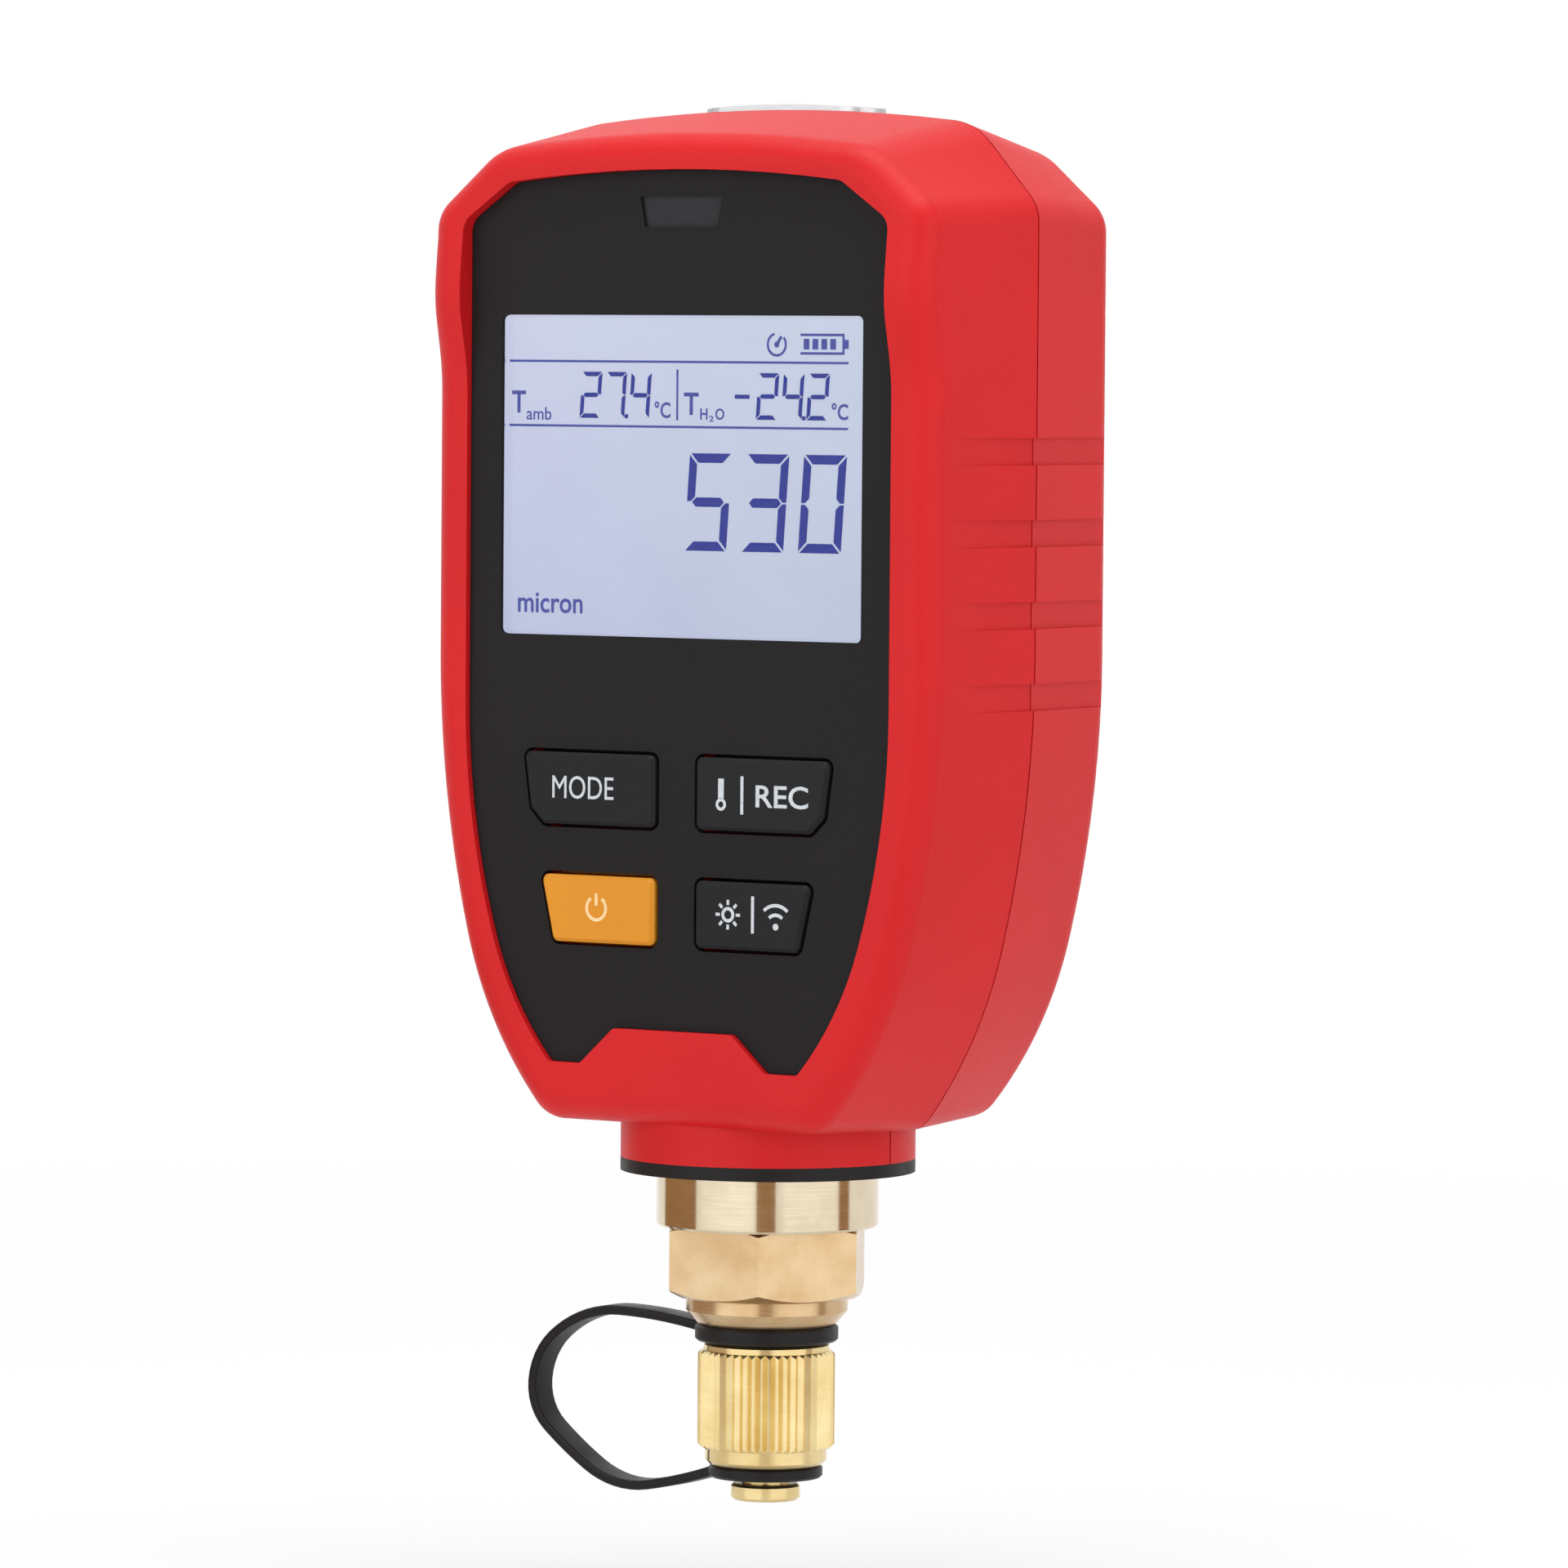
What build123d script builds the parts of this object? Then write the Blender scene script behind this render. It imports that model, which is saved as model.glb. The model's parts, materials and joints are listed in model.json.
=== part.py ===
from build123d import *
import math
import os

# Wireless vacuum gauge: a two-shell handheld body with a display and four keys,
# on a brass flare fitting whose knurled cap hangs on a moulded strap.
# Millimetres. The port axis is Z, the tip of the flare is the origin, the front faces -Y
# and the two shells part at Y = 0.

# Housing outline at the parting plane
body_half_width = 31.9
body_crown_z = 134.9
body_foot_z = 32.2
crown_arch = 1.5
shoulder_top_x = 24.3
shoulder_low_z = 125.0
flank_start_z = 80.0
flank_x = 28.3
flank_z = 51.0
foot_x = 18.6

# Housing front and back faces, drafted in from the parting plane
front_y = -17.1
back_y = 16.4
side_draft = 1.5
crown_draft = 2.9
shoulder_draft = 0.6
foot_draft = 2.2
foot_rise = 0.6
wall = 2.2
front_wall_back_y = -13.3
rim_radius = 3.0
shoulder_top_radius = 7.0
shoulder_low_radius = 4.0
foot_radius = 4.0

# How far the slanted corners move for each millimetre of side draft or of inset
flank_draft_share = 1.1
shoulder_inset_share = 0.4
flank_inset_share = 0.2
heel_inset_share = 0.7

# Thin line that the two shells leave where they meet
seam_depth = 0.65
seam_width = 0.2

# Swelling of the front rim beside the display
swell_height = 1.4
swell_top_height = 0.8
swell_low_z = 106.0
swell_peak_z = 115.0
swell_high_z = 125.0

# Grip grooves in both sides
grip_count = 4
grip_pitch = 8.15
grip_top_z = 100.7
grip_width = 2.7
grip_depth = 0.5
grip_start_y = -13.5

# Neck, gasket, collar and fitting, stacked upward from the flare tip
neck_radius = 15.0
gasket_height = 1.35
collar_radius = 11.3
collar_height = 5.65
collar_edge = 0.25
collar_stem_radius = 9.0
collar_stem_height = 8.5
collar_flange_radius = 11.0
collar_flange_height = 2.0
collar_flange_lift = 4.0
sensor_chamber_radius = 6.6
hex_across_flats = 19.0
hex_height = 7.2
hex_chamfer = 0.9
lip_radius = 8.25
lip_height = 1.4
lip_taper_radius = 7.0
lip_taper_height = 1.45
groove_radius = 4.9
groove_height = 1.75
flare_thread_radius = 5.5
flare_thread_length = 8.15
flare_cone_height = 1.8
flare_cone_radius = 4.9
flare_tip_radius = 3.1
flare_bore_radius = 2.35
stub_radius = 5.6
stub_length = 3.6
filter_radius = 4.0
filter_height = 1.6

# Cap with its knurl and stud
cap_neck_radius = 6.4
cap_neck_height = 0.85
knurl_radius = 6.98
knurl_height = 9.95
knurl_count = 48
knurl_depth = 0.38
cap_end_radius = 6.2
cap_end_height = 1.75
cap_end_chamfer = 0.5
cap_running_clearance = 0.08
seal_height = 0.95
seal_gap = 0.05
stud_neck_radius = 2.4
stud_neck_length = 1.9
stud_flange_radius = 3.53
stud_flange_height = 1.7
stud_edge = 0.3

# Strap with its two rings, and its loop in X and Z between them
strap_width = 3.3
strap_thickness = 1.0
upper_ring_radius = 7.3
lower_ring_radius = 5.8
ring_thickness = 1.25
ring_clearance = 0.05
strap_start_x = -6.4
strap_end_x = -4.8
strap_heading = (-1, 0.2)
strap_places = [(-17.5, 12.0), (-26.0, 8.9), (-28.5, 4.0), (-26.6, -0.6), (-21.5, -4.3), (-14.0, -5.75)]

# Front panel and what shows through it
panel_y = -16.45
panel_thickness = 1.2
panel_half_width = 25.9
panel_crown_z = 128.5
panel_arch = 1.2
panel_shoulder_x = 20.2
panel_shoulder_z = 123.4
panel_flank_start_z = 75.0
panel_flank_x = 22.4
panel_flank_z = 51.5
panel_foot_x = 15.2
panel_foot_z = 38.7
panel_notch_outer_x = 11.4
panel_notch_inner_x = 7.3
panel_notch_z = 42.4
panel_clearance = 0.05
panel_corner_radius = 2.0
panel_foot_radius = 0.8
display_half_width = 22.1
display_low_z = 81.75
display_high_z = 114.0
display_corner_radius = 0.6
display_gap = 0.1
window_recess = 0.15
window_edge = 0.25
window_flange_thickness = 0.45
window_lap = 1.0
lens_half_width_top = 5.0
lens_half_width_low = 4.4
lens_low_z = 122.8
lens_high_z = 125.85
lens_recess = 0.35
lens_lap = 0.5

# Keys: inner and outer edges, heights, and the slant of the outer side
key_inner_x = 2.55
key_outer_x = 18.75
key_outer_low_x = 17.95
key_corner = 1.6
key_low_z = 62.7
key_high_z = 69.95
low_key_outer_x = 16.55
low_key_outer_low_x = 15.0
low_key_low_z = 50.85
low_key_high_z = 57.6
key_corner_radius = 0.7
key_gap = 0.35
key_proud = 0.5
key_edge = 0.35
key_travel = 0.6
key_flange_lap = 0.7
key_flange_thickness = 0.9

# Stack behind the panel
board_front_y = -9.4
board_thickness = 1.6
board_half_width = 25.4
board_low_half_width = 17.6
board_high_z = 119.6
board_step_z = 60.0
board_low_z = 46.5
board_tongue_half_width = 12.0
board_tongue_z = 127.6
fit_gap = 0.1
mat_sheet_thickness = 1.0
dome_base_radius = 3.2
dome_top_radius = 2.0
glass_thickness = 1.7
glass_margin = 1.6
glass_ledge = 2.6
frame_wall = 1.2
contact_strip_width = 1.6
lamp_z = 124.3
lamp_port_radius = 1.6
lamp_half_width = 1.75
lamp_half_height = 1.4
lamp_base_height = 0.8
lamp_dome_radius = 1.1
lamp_height = 1.7
post_radius = 1.1
post_high_x = 17.5
post_high_z = 118.2
post_low_x = 22.6
post_low_z = 67.0

# Parts on the back of the main board
buzzer_x = -10.5
buzzer_z = 53.5
buzzer_radius = 4.5
buzzer_height = 3.2
buzzer_hole_radius = 0.8
radio_half_width = 6.5
radio_low_z = 110.0
radio_thickness = 0.8
radio_margin = 0.8
radio_antenna = 5.0
shield_height = 1.8
shield_edge = 0.3
chip_z = 78.0
chip_half_width = 5.0
chip_height = 1.4
chip_lift = 0.1
chip_leg_count = 8
chip_leg_length = 1.0
chip_leg_width = 0.5

# Batteries, their bay and its door
cell_radius = 7.1
cell_length = 48.5
cell_nub_radius = 2.7
cell_nub_length = 1.2
cell_spacing = 14.7
cell_centre_y = 6.9
cell_gap = 0.25
cell_edge = 0.5
bay_low_z = 61.0
bay_wall = 1.2
contact_plate = 0.4
contact_bump = 0.5
contact_bump_radius = 3.0
contact_depth = 13.0
contact_split = 2.0
door_thickness = 1.2
door_lap = 2.4
door_gap = 0.15
door_corner_radius = 2.5
door_edge = 0.25
door_tab_x = 8.0
door_tab_width = 5.0
door_tab_thickness = 1.2
door_tab_y = 13.0
door_screw_drop = 4.2
door_pad_radius = 3.2
door_pad_y = 13.6
door_pad_floor = 0.9
door_boss_y = 6.5
door_screw_length = 6.5
door_rib_count = 6
door_rib_z = 98.0
door_rib_pitch = 2.2
door_rib_half_width = 8.0
door_rib_width = 1.1
door_rib_depth = 0.4

# Fasteners
boss_radius = 3.4
screw_radius = 1.1
screw_head_radius = 2.3
screw_head_height = 1.5
screw_slot_depth = 0.7
screw_slot_width = 0.55
screw_seat_y = 10.5
screw_depth = 18.5
top_boss_x = 22.2
top_boss_z = 123.2
low_boss_x = 21.8
low_boss_z = 54.5

# Holding magnet in the top of the back shell
magnet_length = 20.8
magnet_width = 6.0
magnet_y = 3.6
magnet_proud = 0.6
magnet_height = 4.0
magnet_cup_wall = 0.6
magnet_seat_wall = 1.0
magnet_bulge = 0.5

# Sensor inside the collar
o_ring_section = 0.8
header_thickness = 1.6
sensor_can_radius = 4.2
pin_circle = 2.5
pin_radius = 0.25
retainer_wall = 1.8
retainer_height = 2.5
sensor_board_thickness = 1.0
lead_start_y = 4.0
lead_width = 6.0
lead_thickness = 0.4
lead_bend_radius = 2.5
lead_lap = 6.0

# Places that follow from the sizes above
groove_low_z = flare_cone_height + flare_thread_length
groove_high_z = groove_low_z + groove_height
lip_low_z = groove_high_z + lip_taper_height
hex_low_z = lip_low_z + lip_height
hex_high_z = hex_low_z + hex_height
stub_high_z = hex_high_z + stub_length
collar_high_z = hex_high_z + collar_height
neck_low_z = collar_high_z + gasket_height
flange_low_z = collar_high_z + collar_flange_lift
flange_high_z = flange_low_z + collar_flange_height
stem_high_z = collar_high_z + collar_stem_height
seal_low_z = stub_high_z + collar_edge
header_low_z = seal_low_z + 2 * o_ring_section
header_high_z = header_low_z + header_thickness
cap_high_z = groove_low_z - ring_clearance
knurl_high_z = cap_high_z - cap_neck_height
knurl_low_z = knurl_high_z - knurl_height
cap_low_z = knurl_low_z - cap_end_height
cap_floor_z = -(2 * seal_gap + seal_height)
lower_ring_high_z = cap_low_z - ring_clearance
panel_back_y = panel_y + panel_thickness
key_back_y = front_wall_back_y + key_flange_thickness
dome_top_y = key_back_y + key_travel + ring_clearance
board_back_y = board_front_y + board_thickness
glass_front_y = panel_back_y + display_gap
glass_back_y = glass_front_y + glass_thickness
glass_half_width = display_half_width + glass_margin
glass_low_z = display_low_z - glass_margin - glass_ledge
glass_high_z = display_high_z + glass_margin
frame_half_width = glass_half_width + fit_gap + frame_wall
frame_low_z = glass_low_z - fit_gap - frame_wall
frame_high_z = glass_high_z + fit_gap + frame_wall
bay_half_width = cell_spacing / 2 + cell_radius + cell_gap
bay_floor_y = cell_centre_y - cell_radius - cell_gap
cell_low_z = bay_low_z + bay_wall + contact_plate + contact_bump
cell_high_z = cell_low_z + cell_length + cell_nub_length
bay_high_z = cell_high_z + contact_bump + contact_plate + bay_wall
door_inner_y = back_y - door_thickness
door_screw_z = bay_low_z - door_screw_drop
door_low_z = door_screw_z - door_pad_radius
door_high_z = bay_high_z + door_lap
door_half_width = bay_half_width + door_lap
back_wall_y = back_y - wall
magnet_high_z = body_crown_z + magnet_proud
magnet_low_z = magnet_high_z - magnet_height
magnet_roof_z = magnet_high_z - magnet_bulge - magnet_cup_wall


# Plain shapes
def slab(profile, y_front, y_back):
    """A profile drawn in X and Z, filled from y_front back to y_back."""
    return extrude(Plane.XZ.offset(-y_back) * profile, y_back - y_front)


def closed_profile(points):
    return make_face(Polyline(*points, close=True))


def turned(points):
    """A closed outline of (radius, z) points turned about the port axis."""
    return revolve(Plane.XZ * closed_profile(points), Axis.Z)


def tube(outer, inner, z_low, z_high):
    """A ring about the port axis, or a disc where inner is zero."""
    body = Pos(0, 0, z_low) * extrude(Circle(outer), z_high - z_low)
    if inner > 0:
        body -= Pos(0, 0, z_low) * extrude(Circle(inner), z_high - z_low)
    return body


def rod(x, z, radius, y_front, y_back):
    """A round bar along Y."""
    return slab(Pos(x, z) * Circle(radius), y_front, y_back)


def plate(x_low, x_high, z_low, z_high, y_front, y_back, radius=0.0):
    """A rectangle in X and Z with a thickness in Y, its corners rounded by radius."""
    profile = Rectangle(x_high - x_low, z_high - z_low)
    if radius > 0:
        profile = fillet(profile.vertices(), radius)
    return slab(Pos((x_low + x_high) / 2, (z_low + z_high) / 2) * profile, y_front, y_back)


def corners_at(profile, z, reach=0.01):
    """The corners of a flat profile that lie at height z."""
    return [corner for corner in profile.vertices() if abs(corner.Y - z) < reach]


# Housing
def housing_outline(depth, inset=0.0):
    """The body's outline in X and Z, drafted by depth (0 at the parting plane, 1 at a face)."""
    half = body_half_width - side_draft * depth - inset
    crown_z = body_crown_z - crown_draft * depth - inset
    arch_z = crown_z - crown_arch
    shoulder_x = shoulder_top_x - side_draft * depth - shoulder_inset_share * inset
    shoulder_z = shoulder_low_z - shoulder_draft * depth - shoulder_inset_share * inset
    bend = (flank_x - flank_draft_share * side_draft * depth - inset, flank_z + flank_inset_share * inset)
    heel = (foot_x - foot_draft * depth - heel_inset_share * inset,
            body_foot_z + foot_rise * depth + inset)
    high = TangentArc((half, flank_start_z), bend, tangent=(0, -1))
    low = TangentArc(bend, heel, tangent=high % 1)
    right = [Line((half, shoulder_z), (half, flank_start_z)), high, low]
    left = [edge.mirror(Plane.YZ) for edge in right]
    joins = [
        Line(heel, (-heel[0], heel[1])),
        Line((-half, shoulder_z), (-shoulder_x, arch_z)),
        ThreePointArc((-shoulder_x, arch_z), (0, crown_z), (shoulder_x, arch_z)),
        Line((shoulder_x, arch_z), (half, shoulder_z)),
    ]
    face = make_face(Wire(right + left + joins))
    face = fillet(corners_at(face, arch_z), shoulder_top_radius - inset / 2)
    face = fillet(corners_at(face, shoulder_z), shoulder_low_radius - inset / 2)
    return fillet(corners_at(face, heel[1]), foot_radius - inset / 2)


def drafted_body(y_face, y_end, inset=0.0):
    """One half of the body, from the parting plane out to y_end, drafted to fit the face."""
    inner = Plane.XZ * housing_outline(0, inset)
    outer = Plane.XZ.offset(-y_end) * housing_outline(y_end / y_face, inset)
    return loft([inner, outer], ruled=True)


def front_cutter():
    """What lies in front of the rim's face, with the swelling beside the display."""
    swell_y = front_y - swell_height
    high_y = front_y - swell_top_height
    far_y = 2 * front_y
    top_z = body_crown_z + wall
    profile = [
        Line((front_y, 0), (front_y, swell_low_z)),
        Spline((front_y, swell_low_z), (swell_y, swell_peak_z), (high_y, swell_high_z),
               tangents=((0, 1), (0, 1))),
        Line((high_y, swell_high_z), (high_y, top_z)),
        Line((high_y, top_z), (far_y, top_z)),
        Line((far_y, top_z), (far_y, 0)),
        Line((far_y, 0), (front_y, 0)),
    ]
    return extrude(Plane.YZ * make_face(Wire(profile)), 2 * body_half_width, both=True)


def grip_cutter():
    """The shallow grooves of both sides, fading in from the front."""
    floor = body_half_width - grip_depth
    front_x = body_half_width - side_draft * grip_start_y / front_y
    outer_x = body_half_width + wall
    side = closed_profile([
        (front_x, grip_start_y), (floor, 0), (floor - side_draft, back_y),
        (outer_x, back_y), (outer_x, grip_start_y),
    ])
    grooves = Part()
    for index in range(grip_count):
        z = grip_top_z - index * grip_pitch
        groove = Pos(0, 0, z - grip_width / 2) * extrude(side, grip_width)
        grooves += groove + groove.mirror(Plane.YZ)
    return grooves


def boss_places():
    places = ((top_boss_x, top_boss_z), (low_boss_x, low_boss_z))
    return [(side * x, z) for x, z in places for side in (-1, 1)]


def neck(y_front, y_back):
    """The half of the round neck that lies between two Y planes."""
    body = tube(neck_radius, 0, neck_low_z, stem_high_z)
    keep = Box(4 * neck_radius, y_back - y_front, 4 * stem_high_z)
    return body & (Pos(0, (y_front + y_back) / 2, 0) * keep)


def neck_passage():
    """The hole that the collar's stem and flange leave in the neck."""
    hole = tube(collar_stem_radius + fit_gap, 0, neck_low_z - wall, stem_high_z + wall)
    return hole + tube(collar_flange_radius + fit_gap, 0, flange_low_z, flange_high_z)


def seam_cutter(y_front, y_back):
    """What is cut from a shell's edge so that a thin line shows round the body and down the neck."""
    keep = slab(housing_outline(0, seam_depth), y_front, y_back)
    half = neck_radius - seam_depth
    keep += plate(-half, half, neck_low_z, stem_high_z, y_front, y_back)
    reach = body_half_width + wall
    return plate(-reach, reach, neck_low_z, body_crown_z + wall, y_front, y_back) - keep


def front_shell():
    body = drafted_body(front_y, front_y - swell_height - wall) - front_cutter()
    rim = [edge for edge in body.edges() if edge.bounding_box().max.Y < front_y + 0.01]
    body = fillet(rim, rim_radius)
    body -= drafted_body(front_y, front_wall_back_y, wall)
    body -= slab(panel_outline(panel_clearance), 2 * front_y, panel_back_y)
    body -= plate(-frame_half_width - fit_gap, frame_half_width + fit_gap,
                  frame_low_z - fit_gap, frame_high_z + fit_gap, panel_back_y, front_wall_back_y)
    body -= key_holes(panel_back_y, front_wall_back_y)
    body -= rod(0, lamp_z, lamp_port_radius, panel_back_y, front_wall_back_y)
    for x, z in boss_places():
        body += rod(x, z, boss_radius, front_wall_back_y, 0)
        body -= rod(x, z, screw_radius, screw_seat_y - screw_depth, 0)
    for x, z in ((post_high_x, post_high_z), (post_low_x, post_low_z)):
        for side in (-1, 1):
            body += rod(side * x, z, post_radius, front_wall_back_y, board_front_y)
    body += neck(-neck_radius, 0)
    body -= neck_passage()
    return body - grip_cutter() - seam_cutter(-seam_width / 2, 0)


def back_shell():
    body = drafted_body(back_y, back_y)
    rim = [edge for edge in body.edges() if edge.bounding_box().min.Y > back_y - 0.01]
    body = fillet(rim, rim_radius)
    body -= drafted_body(back_y, back_wall_y, wall)
    body += plate(-bay_half_width - bay_wall, bay_half_width + bay_wall, bay_low_z, bay_high_z,
                  bay_floor_y - bay_wall, back_wall_y)
    body -= plate(-bay_half_width, bay_half_width, bay_low_z + bay_wall, bay_high_z - bay_wall,
                  bay_floor_y, back_y)
    for x, z in boss_places():
        body += rod(x, z, boss_radius, 0, back_wall_y)
        body -= rod(x, z, screw_radius, 0, screw_seat_y)
        body -= rod(x, z, screw_head_radius + fit_gap, screw_seat_y, back_y)
    body += rod(0, door_screw_z, door_pad_radius + wall / 2, door_boss_y, back_wall_y)
    body -= door_outline(door_gap, door_inner_y)
    body -= rod(0, door_screw_z, door_pad_radius + fit_gap, door_pad_y, back_y)
    body -= rod(0, door_screw_z, screw_radius, door_boss_y, door_pad_y)
    for side in (-1, 1):
        body -= door_tab_slot(side)
    body += magnet_block(magnet_seat_wall, magnet_low_z - magnet_seat_wall, body_crown_z - crown_draft)
    body -= magnet_block(fit_gap, magnet_low_z, magnet_high_z + wall)
    body += neck(0, neck_radius)
    body -= neck_passage()
    return body - grip_cutter() - seam_cutter(0, seam_width / 2)


# Battery door
def door_outline(grow, y_front):
    half = door_half_width + grow
    return plate(-half, half, door_low_z - grow, door_high_z + grow, y_front, back_y, door_corner_radius)


def door_tab_places(side, grow):
    middle = side * door_tab_x
    half = door_tab_width / 2 + grow
    z_low = bay_high_z + fit_gap - grow
    return middle - half, middle + half, z_low, z_low + door_tab_thickness + 2 * grow


def door_tab(side):
    """A hook at the door's top edge, which reaches in and under the wall."""
    x_low, x_high, z_low, z_high = door_tab_places(side, 0)
    stem = plate(x_low, x_high, z_low, z_high, door_tab_y, door_inner_y)
    return stem + plate(x_low, x_high, z_low, door_high_z + door_tab_thickness,
                        door_tab_y, back_wall_y - fit_gap)


def door_tab_slot(side):
    x_low, x_high, z_low, z_high = door_tab_places(side, fit_gap)
    return plate(x_low, x_high, z_low, z_high, door_tab_y, door_inner_y)


def battery_door():
    body = door_outline(0, door_inner_y)
    body = chamfer(body.faces().sort_by(Axis.Y)[-1].edges(), door_edge)
    body += rod(0, door_screw_z, door_pad_radius, door_pad_y, door_inner_y)
    body += door_tab(1) + door_tab(-1)
    body -= rod(0, door_screw_z, screw_head_radius + fit_gap, door_pad_y + door_pad_floor, back_y)
    body -= rod(0, door_screw_z, screw_radius, door_pad_y, back_y)
    for index in range(door_rib_count):
        z = door_rib_z + index * door_rib_pitch
        body -= plate(-door_rib_half_width, door_rib_half_width, z, z + door_rib_width,
                      back_y - door_rib_depth, back_y)
    return body


def screw(x, z, seat_y, length):
    """A pan head with a cross recess on a plain shank, its head toward +Y."""
    top_y = seat_y + screw_head_height
    head = rod(x, z, screw_head_radius, seat_y, top_y)
    head = fillet(head.faces().sort_by(Axis.Y)[-1].edges(), screw_head_height / 3)
    arm = screw_head_radius / 2
    half = screw_slot_width / 2
    slot_y = top_y - screw_slot_depth
    head -= plate(x - arm, x + arm, z - half, z + half, slot_y, top_y)
    head -= plate(x - half, x + half, z - arm, z + arm, slot_y, top_y)
    return head + rod(x, z, screw_radius, seat_y - length, seat_y)


# Magnet
def magnet_block(grow, z_low, z_high):
    plan = SlotOverall(magnet_length + 2 * grow, magnet_width + 2 * grow)
    return Pos(0, magnet_y, z_low) * extrude(plan, z_high - z_low)


def magnet_cup():
    """A steel cup over the bar magnet; its face follows the arch of the crown."""
    bulge_radius = magnet_length ** 2 / (8 * magnet_bulge)
    arch = Rot(90, 0, 0) * Cylinder(bulge_radius, 4 * magnet_width)
    arch = Pos(0, magnet_y, magnet_high_z - bulge_radius) * arch
    cup = magnet_block(0, magnet_low_z, magnet_high_z) & arch
    return cup - magnet()


def magnet():
    return magnet_block(-magnet_cup_wall, magnet_low_z, magnet_roof_z)


# Front panel and display
def panel_outline(grow=0.0):
    """The front panel's outline, grown evenly for the recess that it sits in."""
    half = panel_half_width + grow
    crown_z = panel_crown_z + grow
    arch_z = crown_z - panel_arch
    bend = (panel_flank_x + grow, panel_flank_z)
    heel = (panel_foot_x + grow, panel_foot_z - grow)
    high = TangentArc((half, panel_flank_start_z), bend, tangent=(0, -1))
    low = TangentArc(bend, heel, tangent=high % 1)
    notch_outer = (panel_notch_outer_x - grow, heel[1])
    notch_inner = (panel_notch_inner_x - grow, panel_notch_z - grow)
    shoulder_x = panel_shoulder_x + grow
    right = [
        Line((shoulder_x, arch_z), (half, panel_shoulder_z)),
        Line((half, panel_shoulder_z), (half, panel_flank_start_z)),
        high, low, Line(heel, notch_outer), Line(notch_outer, notch_inner),
    ]
    left = [edge.mirror(Plane.YZ) for edge in right]
    joins = [
        Line(notch_inner, (-notch_inner[0], notch_inner[1])),
        ThreePointArc((-shoulder_x, arch_z), (0, crown_z), (shoulder_x, arch_z)),
    ]
    face = make_face(Wire(right + left + joins))
    face = fillet(corners_at(face, arch_z) + corners_at(face, panel_shoulder_z), panel_corner_radius)
    return fillet(corners_at(face, heel[1]) + corners_at(face, notch_inner[1]), panel_foot_radius)


def lens_outline(grow=0.0):
    """The indicator's slanted window."""
    top = lens_half_width_top + grow
    low = lens_half_width_low + grow
    return closed_profile([
        (-top, lens_high_z + grow), (top, lens_high_z + grow),
        (low, lens_low_z - grow), (-low, lens_low_z - grow),
    ])


def indicator_lens():
    body = slab(lens_outline(), panel_y + lens_recess, panel_back_y)
    return body + slab(lens_outline(lens_lap), panel_y + lens_recess + lens_lap, panel_back_y)


def window_flange(clearance):
    half = display_half_width + window_lap - clearance
    return plate(-half, half, display_low_z - window_lap + clearance, display_high_z + window_lap - clearance,
                 panel_back_y - window_flange_thickness, panel_back_y)


def display_window():
    """A stepped window: a flange behind the panel, and a bevelled face that fills the opening."""
    half = display_half_width - ring_clearance
    face = plate(-half, half, display_low_z + ring_clearance, display_high_z - ring_clearance,
                 panel_y + window_recess, panel_back_y, display_corner_radius)
    face = chamfer(face.faces().sort_by(Axis.Y)[0].edges(), window_edge)
    return face + window_flange(ring_clearance)


def front_panel():
    body = slab(panel_outline(), panel_y, panel_back_y)
    body -= plate(-display_half_width, display_half_width, display_low_z, display_high_z,
                  panel_y, panel_back_y, display_corner_radius)
    body -= window_flange(0)
    body -= slab(lens_outline(), panel_y, panel_back_y)
    body -= slab(lens_outline(lens_lap), panel_y + lens_recess + lens_lap, panel_back_y)
    return body - key_holes(panel_y, panel_back_y)


def display_glass():
    return plate(-glass_half_width, glass_half_width, glass_low_z, glass_high_z, glass_front_y, glass_back_y)


def display_backlight():
    return plate(-glass_half_width, glass_half_width, glass_low_z + glass_ledge, glass_high_z,
                 glass_back_y, board_front_y)


def contact_strip():
    strip_low_z = glass_low_z + (glass_ledge - contact_strip_width) / 2
    return plate(-display_half_width, display_half_width, strip_low_z, strip_low_z + contact_strip_width,
                 glass_back_y, board_front_y)


def display_frame():
    inner = glass_half_width + fit_gap
    body = plate(-frame_half_width, frame_half_width, frame_low_z, frame_high_z, panel_back_y, board_front_y)
    return body - plate(-inner, inner, glass_low_z - fit_gap, glass_high_z + fit_gap,
                        panel_back_y, board_front_y)


# Keys
def key_outline(side, upper):
    """A key's face on the left (-1) or right (1), in the upper or the lower row."""
    if upper:
        points = [
            (key_inner_x, key_high_z), (key_outer_x, key_high_z),
            (key_outer_low_x, key_low_z + key_corner), (key_outer_low_x - key_corner, key_low_z),
            (key_inner_x, key_low_z),
        ]
    else:
        points = [
            (key_inner_x, low_key_high_z), (low_key_outer_x, low_key_high_z),
            (low_key_outer_low_x, low_key_low_z), (key_inner_x, low_key_low_z),
        ]
    face = closed_profile([(side * x, z) for x, z in points])
    return fillet(face.vertices(), key_corner_radius)


keys = {
    "mode_key": key_outline(-1, True),
    "record_key": key_outline(1, True),
    "power_key": key_outline(-1, False),
    "light_key": key_outline(1, False),
}


def key_holes(y_front, y_back):
    holes = Part()
    for outline in keys.values():
        holes += slab(offset(outline, key_gap), y_front, y_back)
    return holes


def keycap(outline):
    """A key with a bevelled face, its body through the panel and a flange behind the wall."""
    body = slab(outline, panel_y - key_proud, front_wall_back_y)
    body = chamfer(body.faces().sort_by(Axis.Y)[0].edges(), key_edge)
    return body + slab(offset(outline, key_gap + key_flange_lap), front_wall_back_y, key_back_y)


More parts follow.
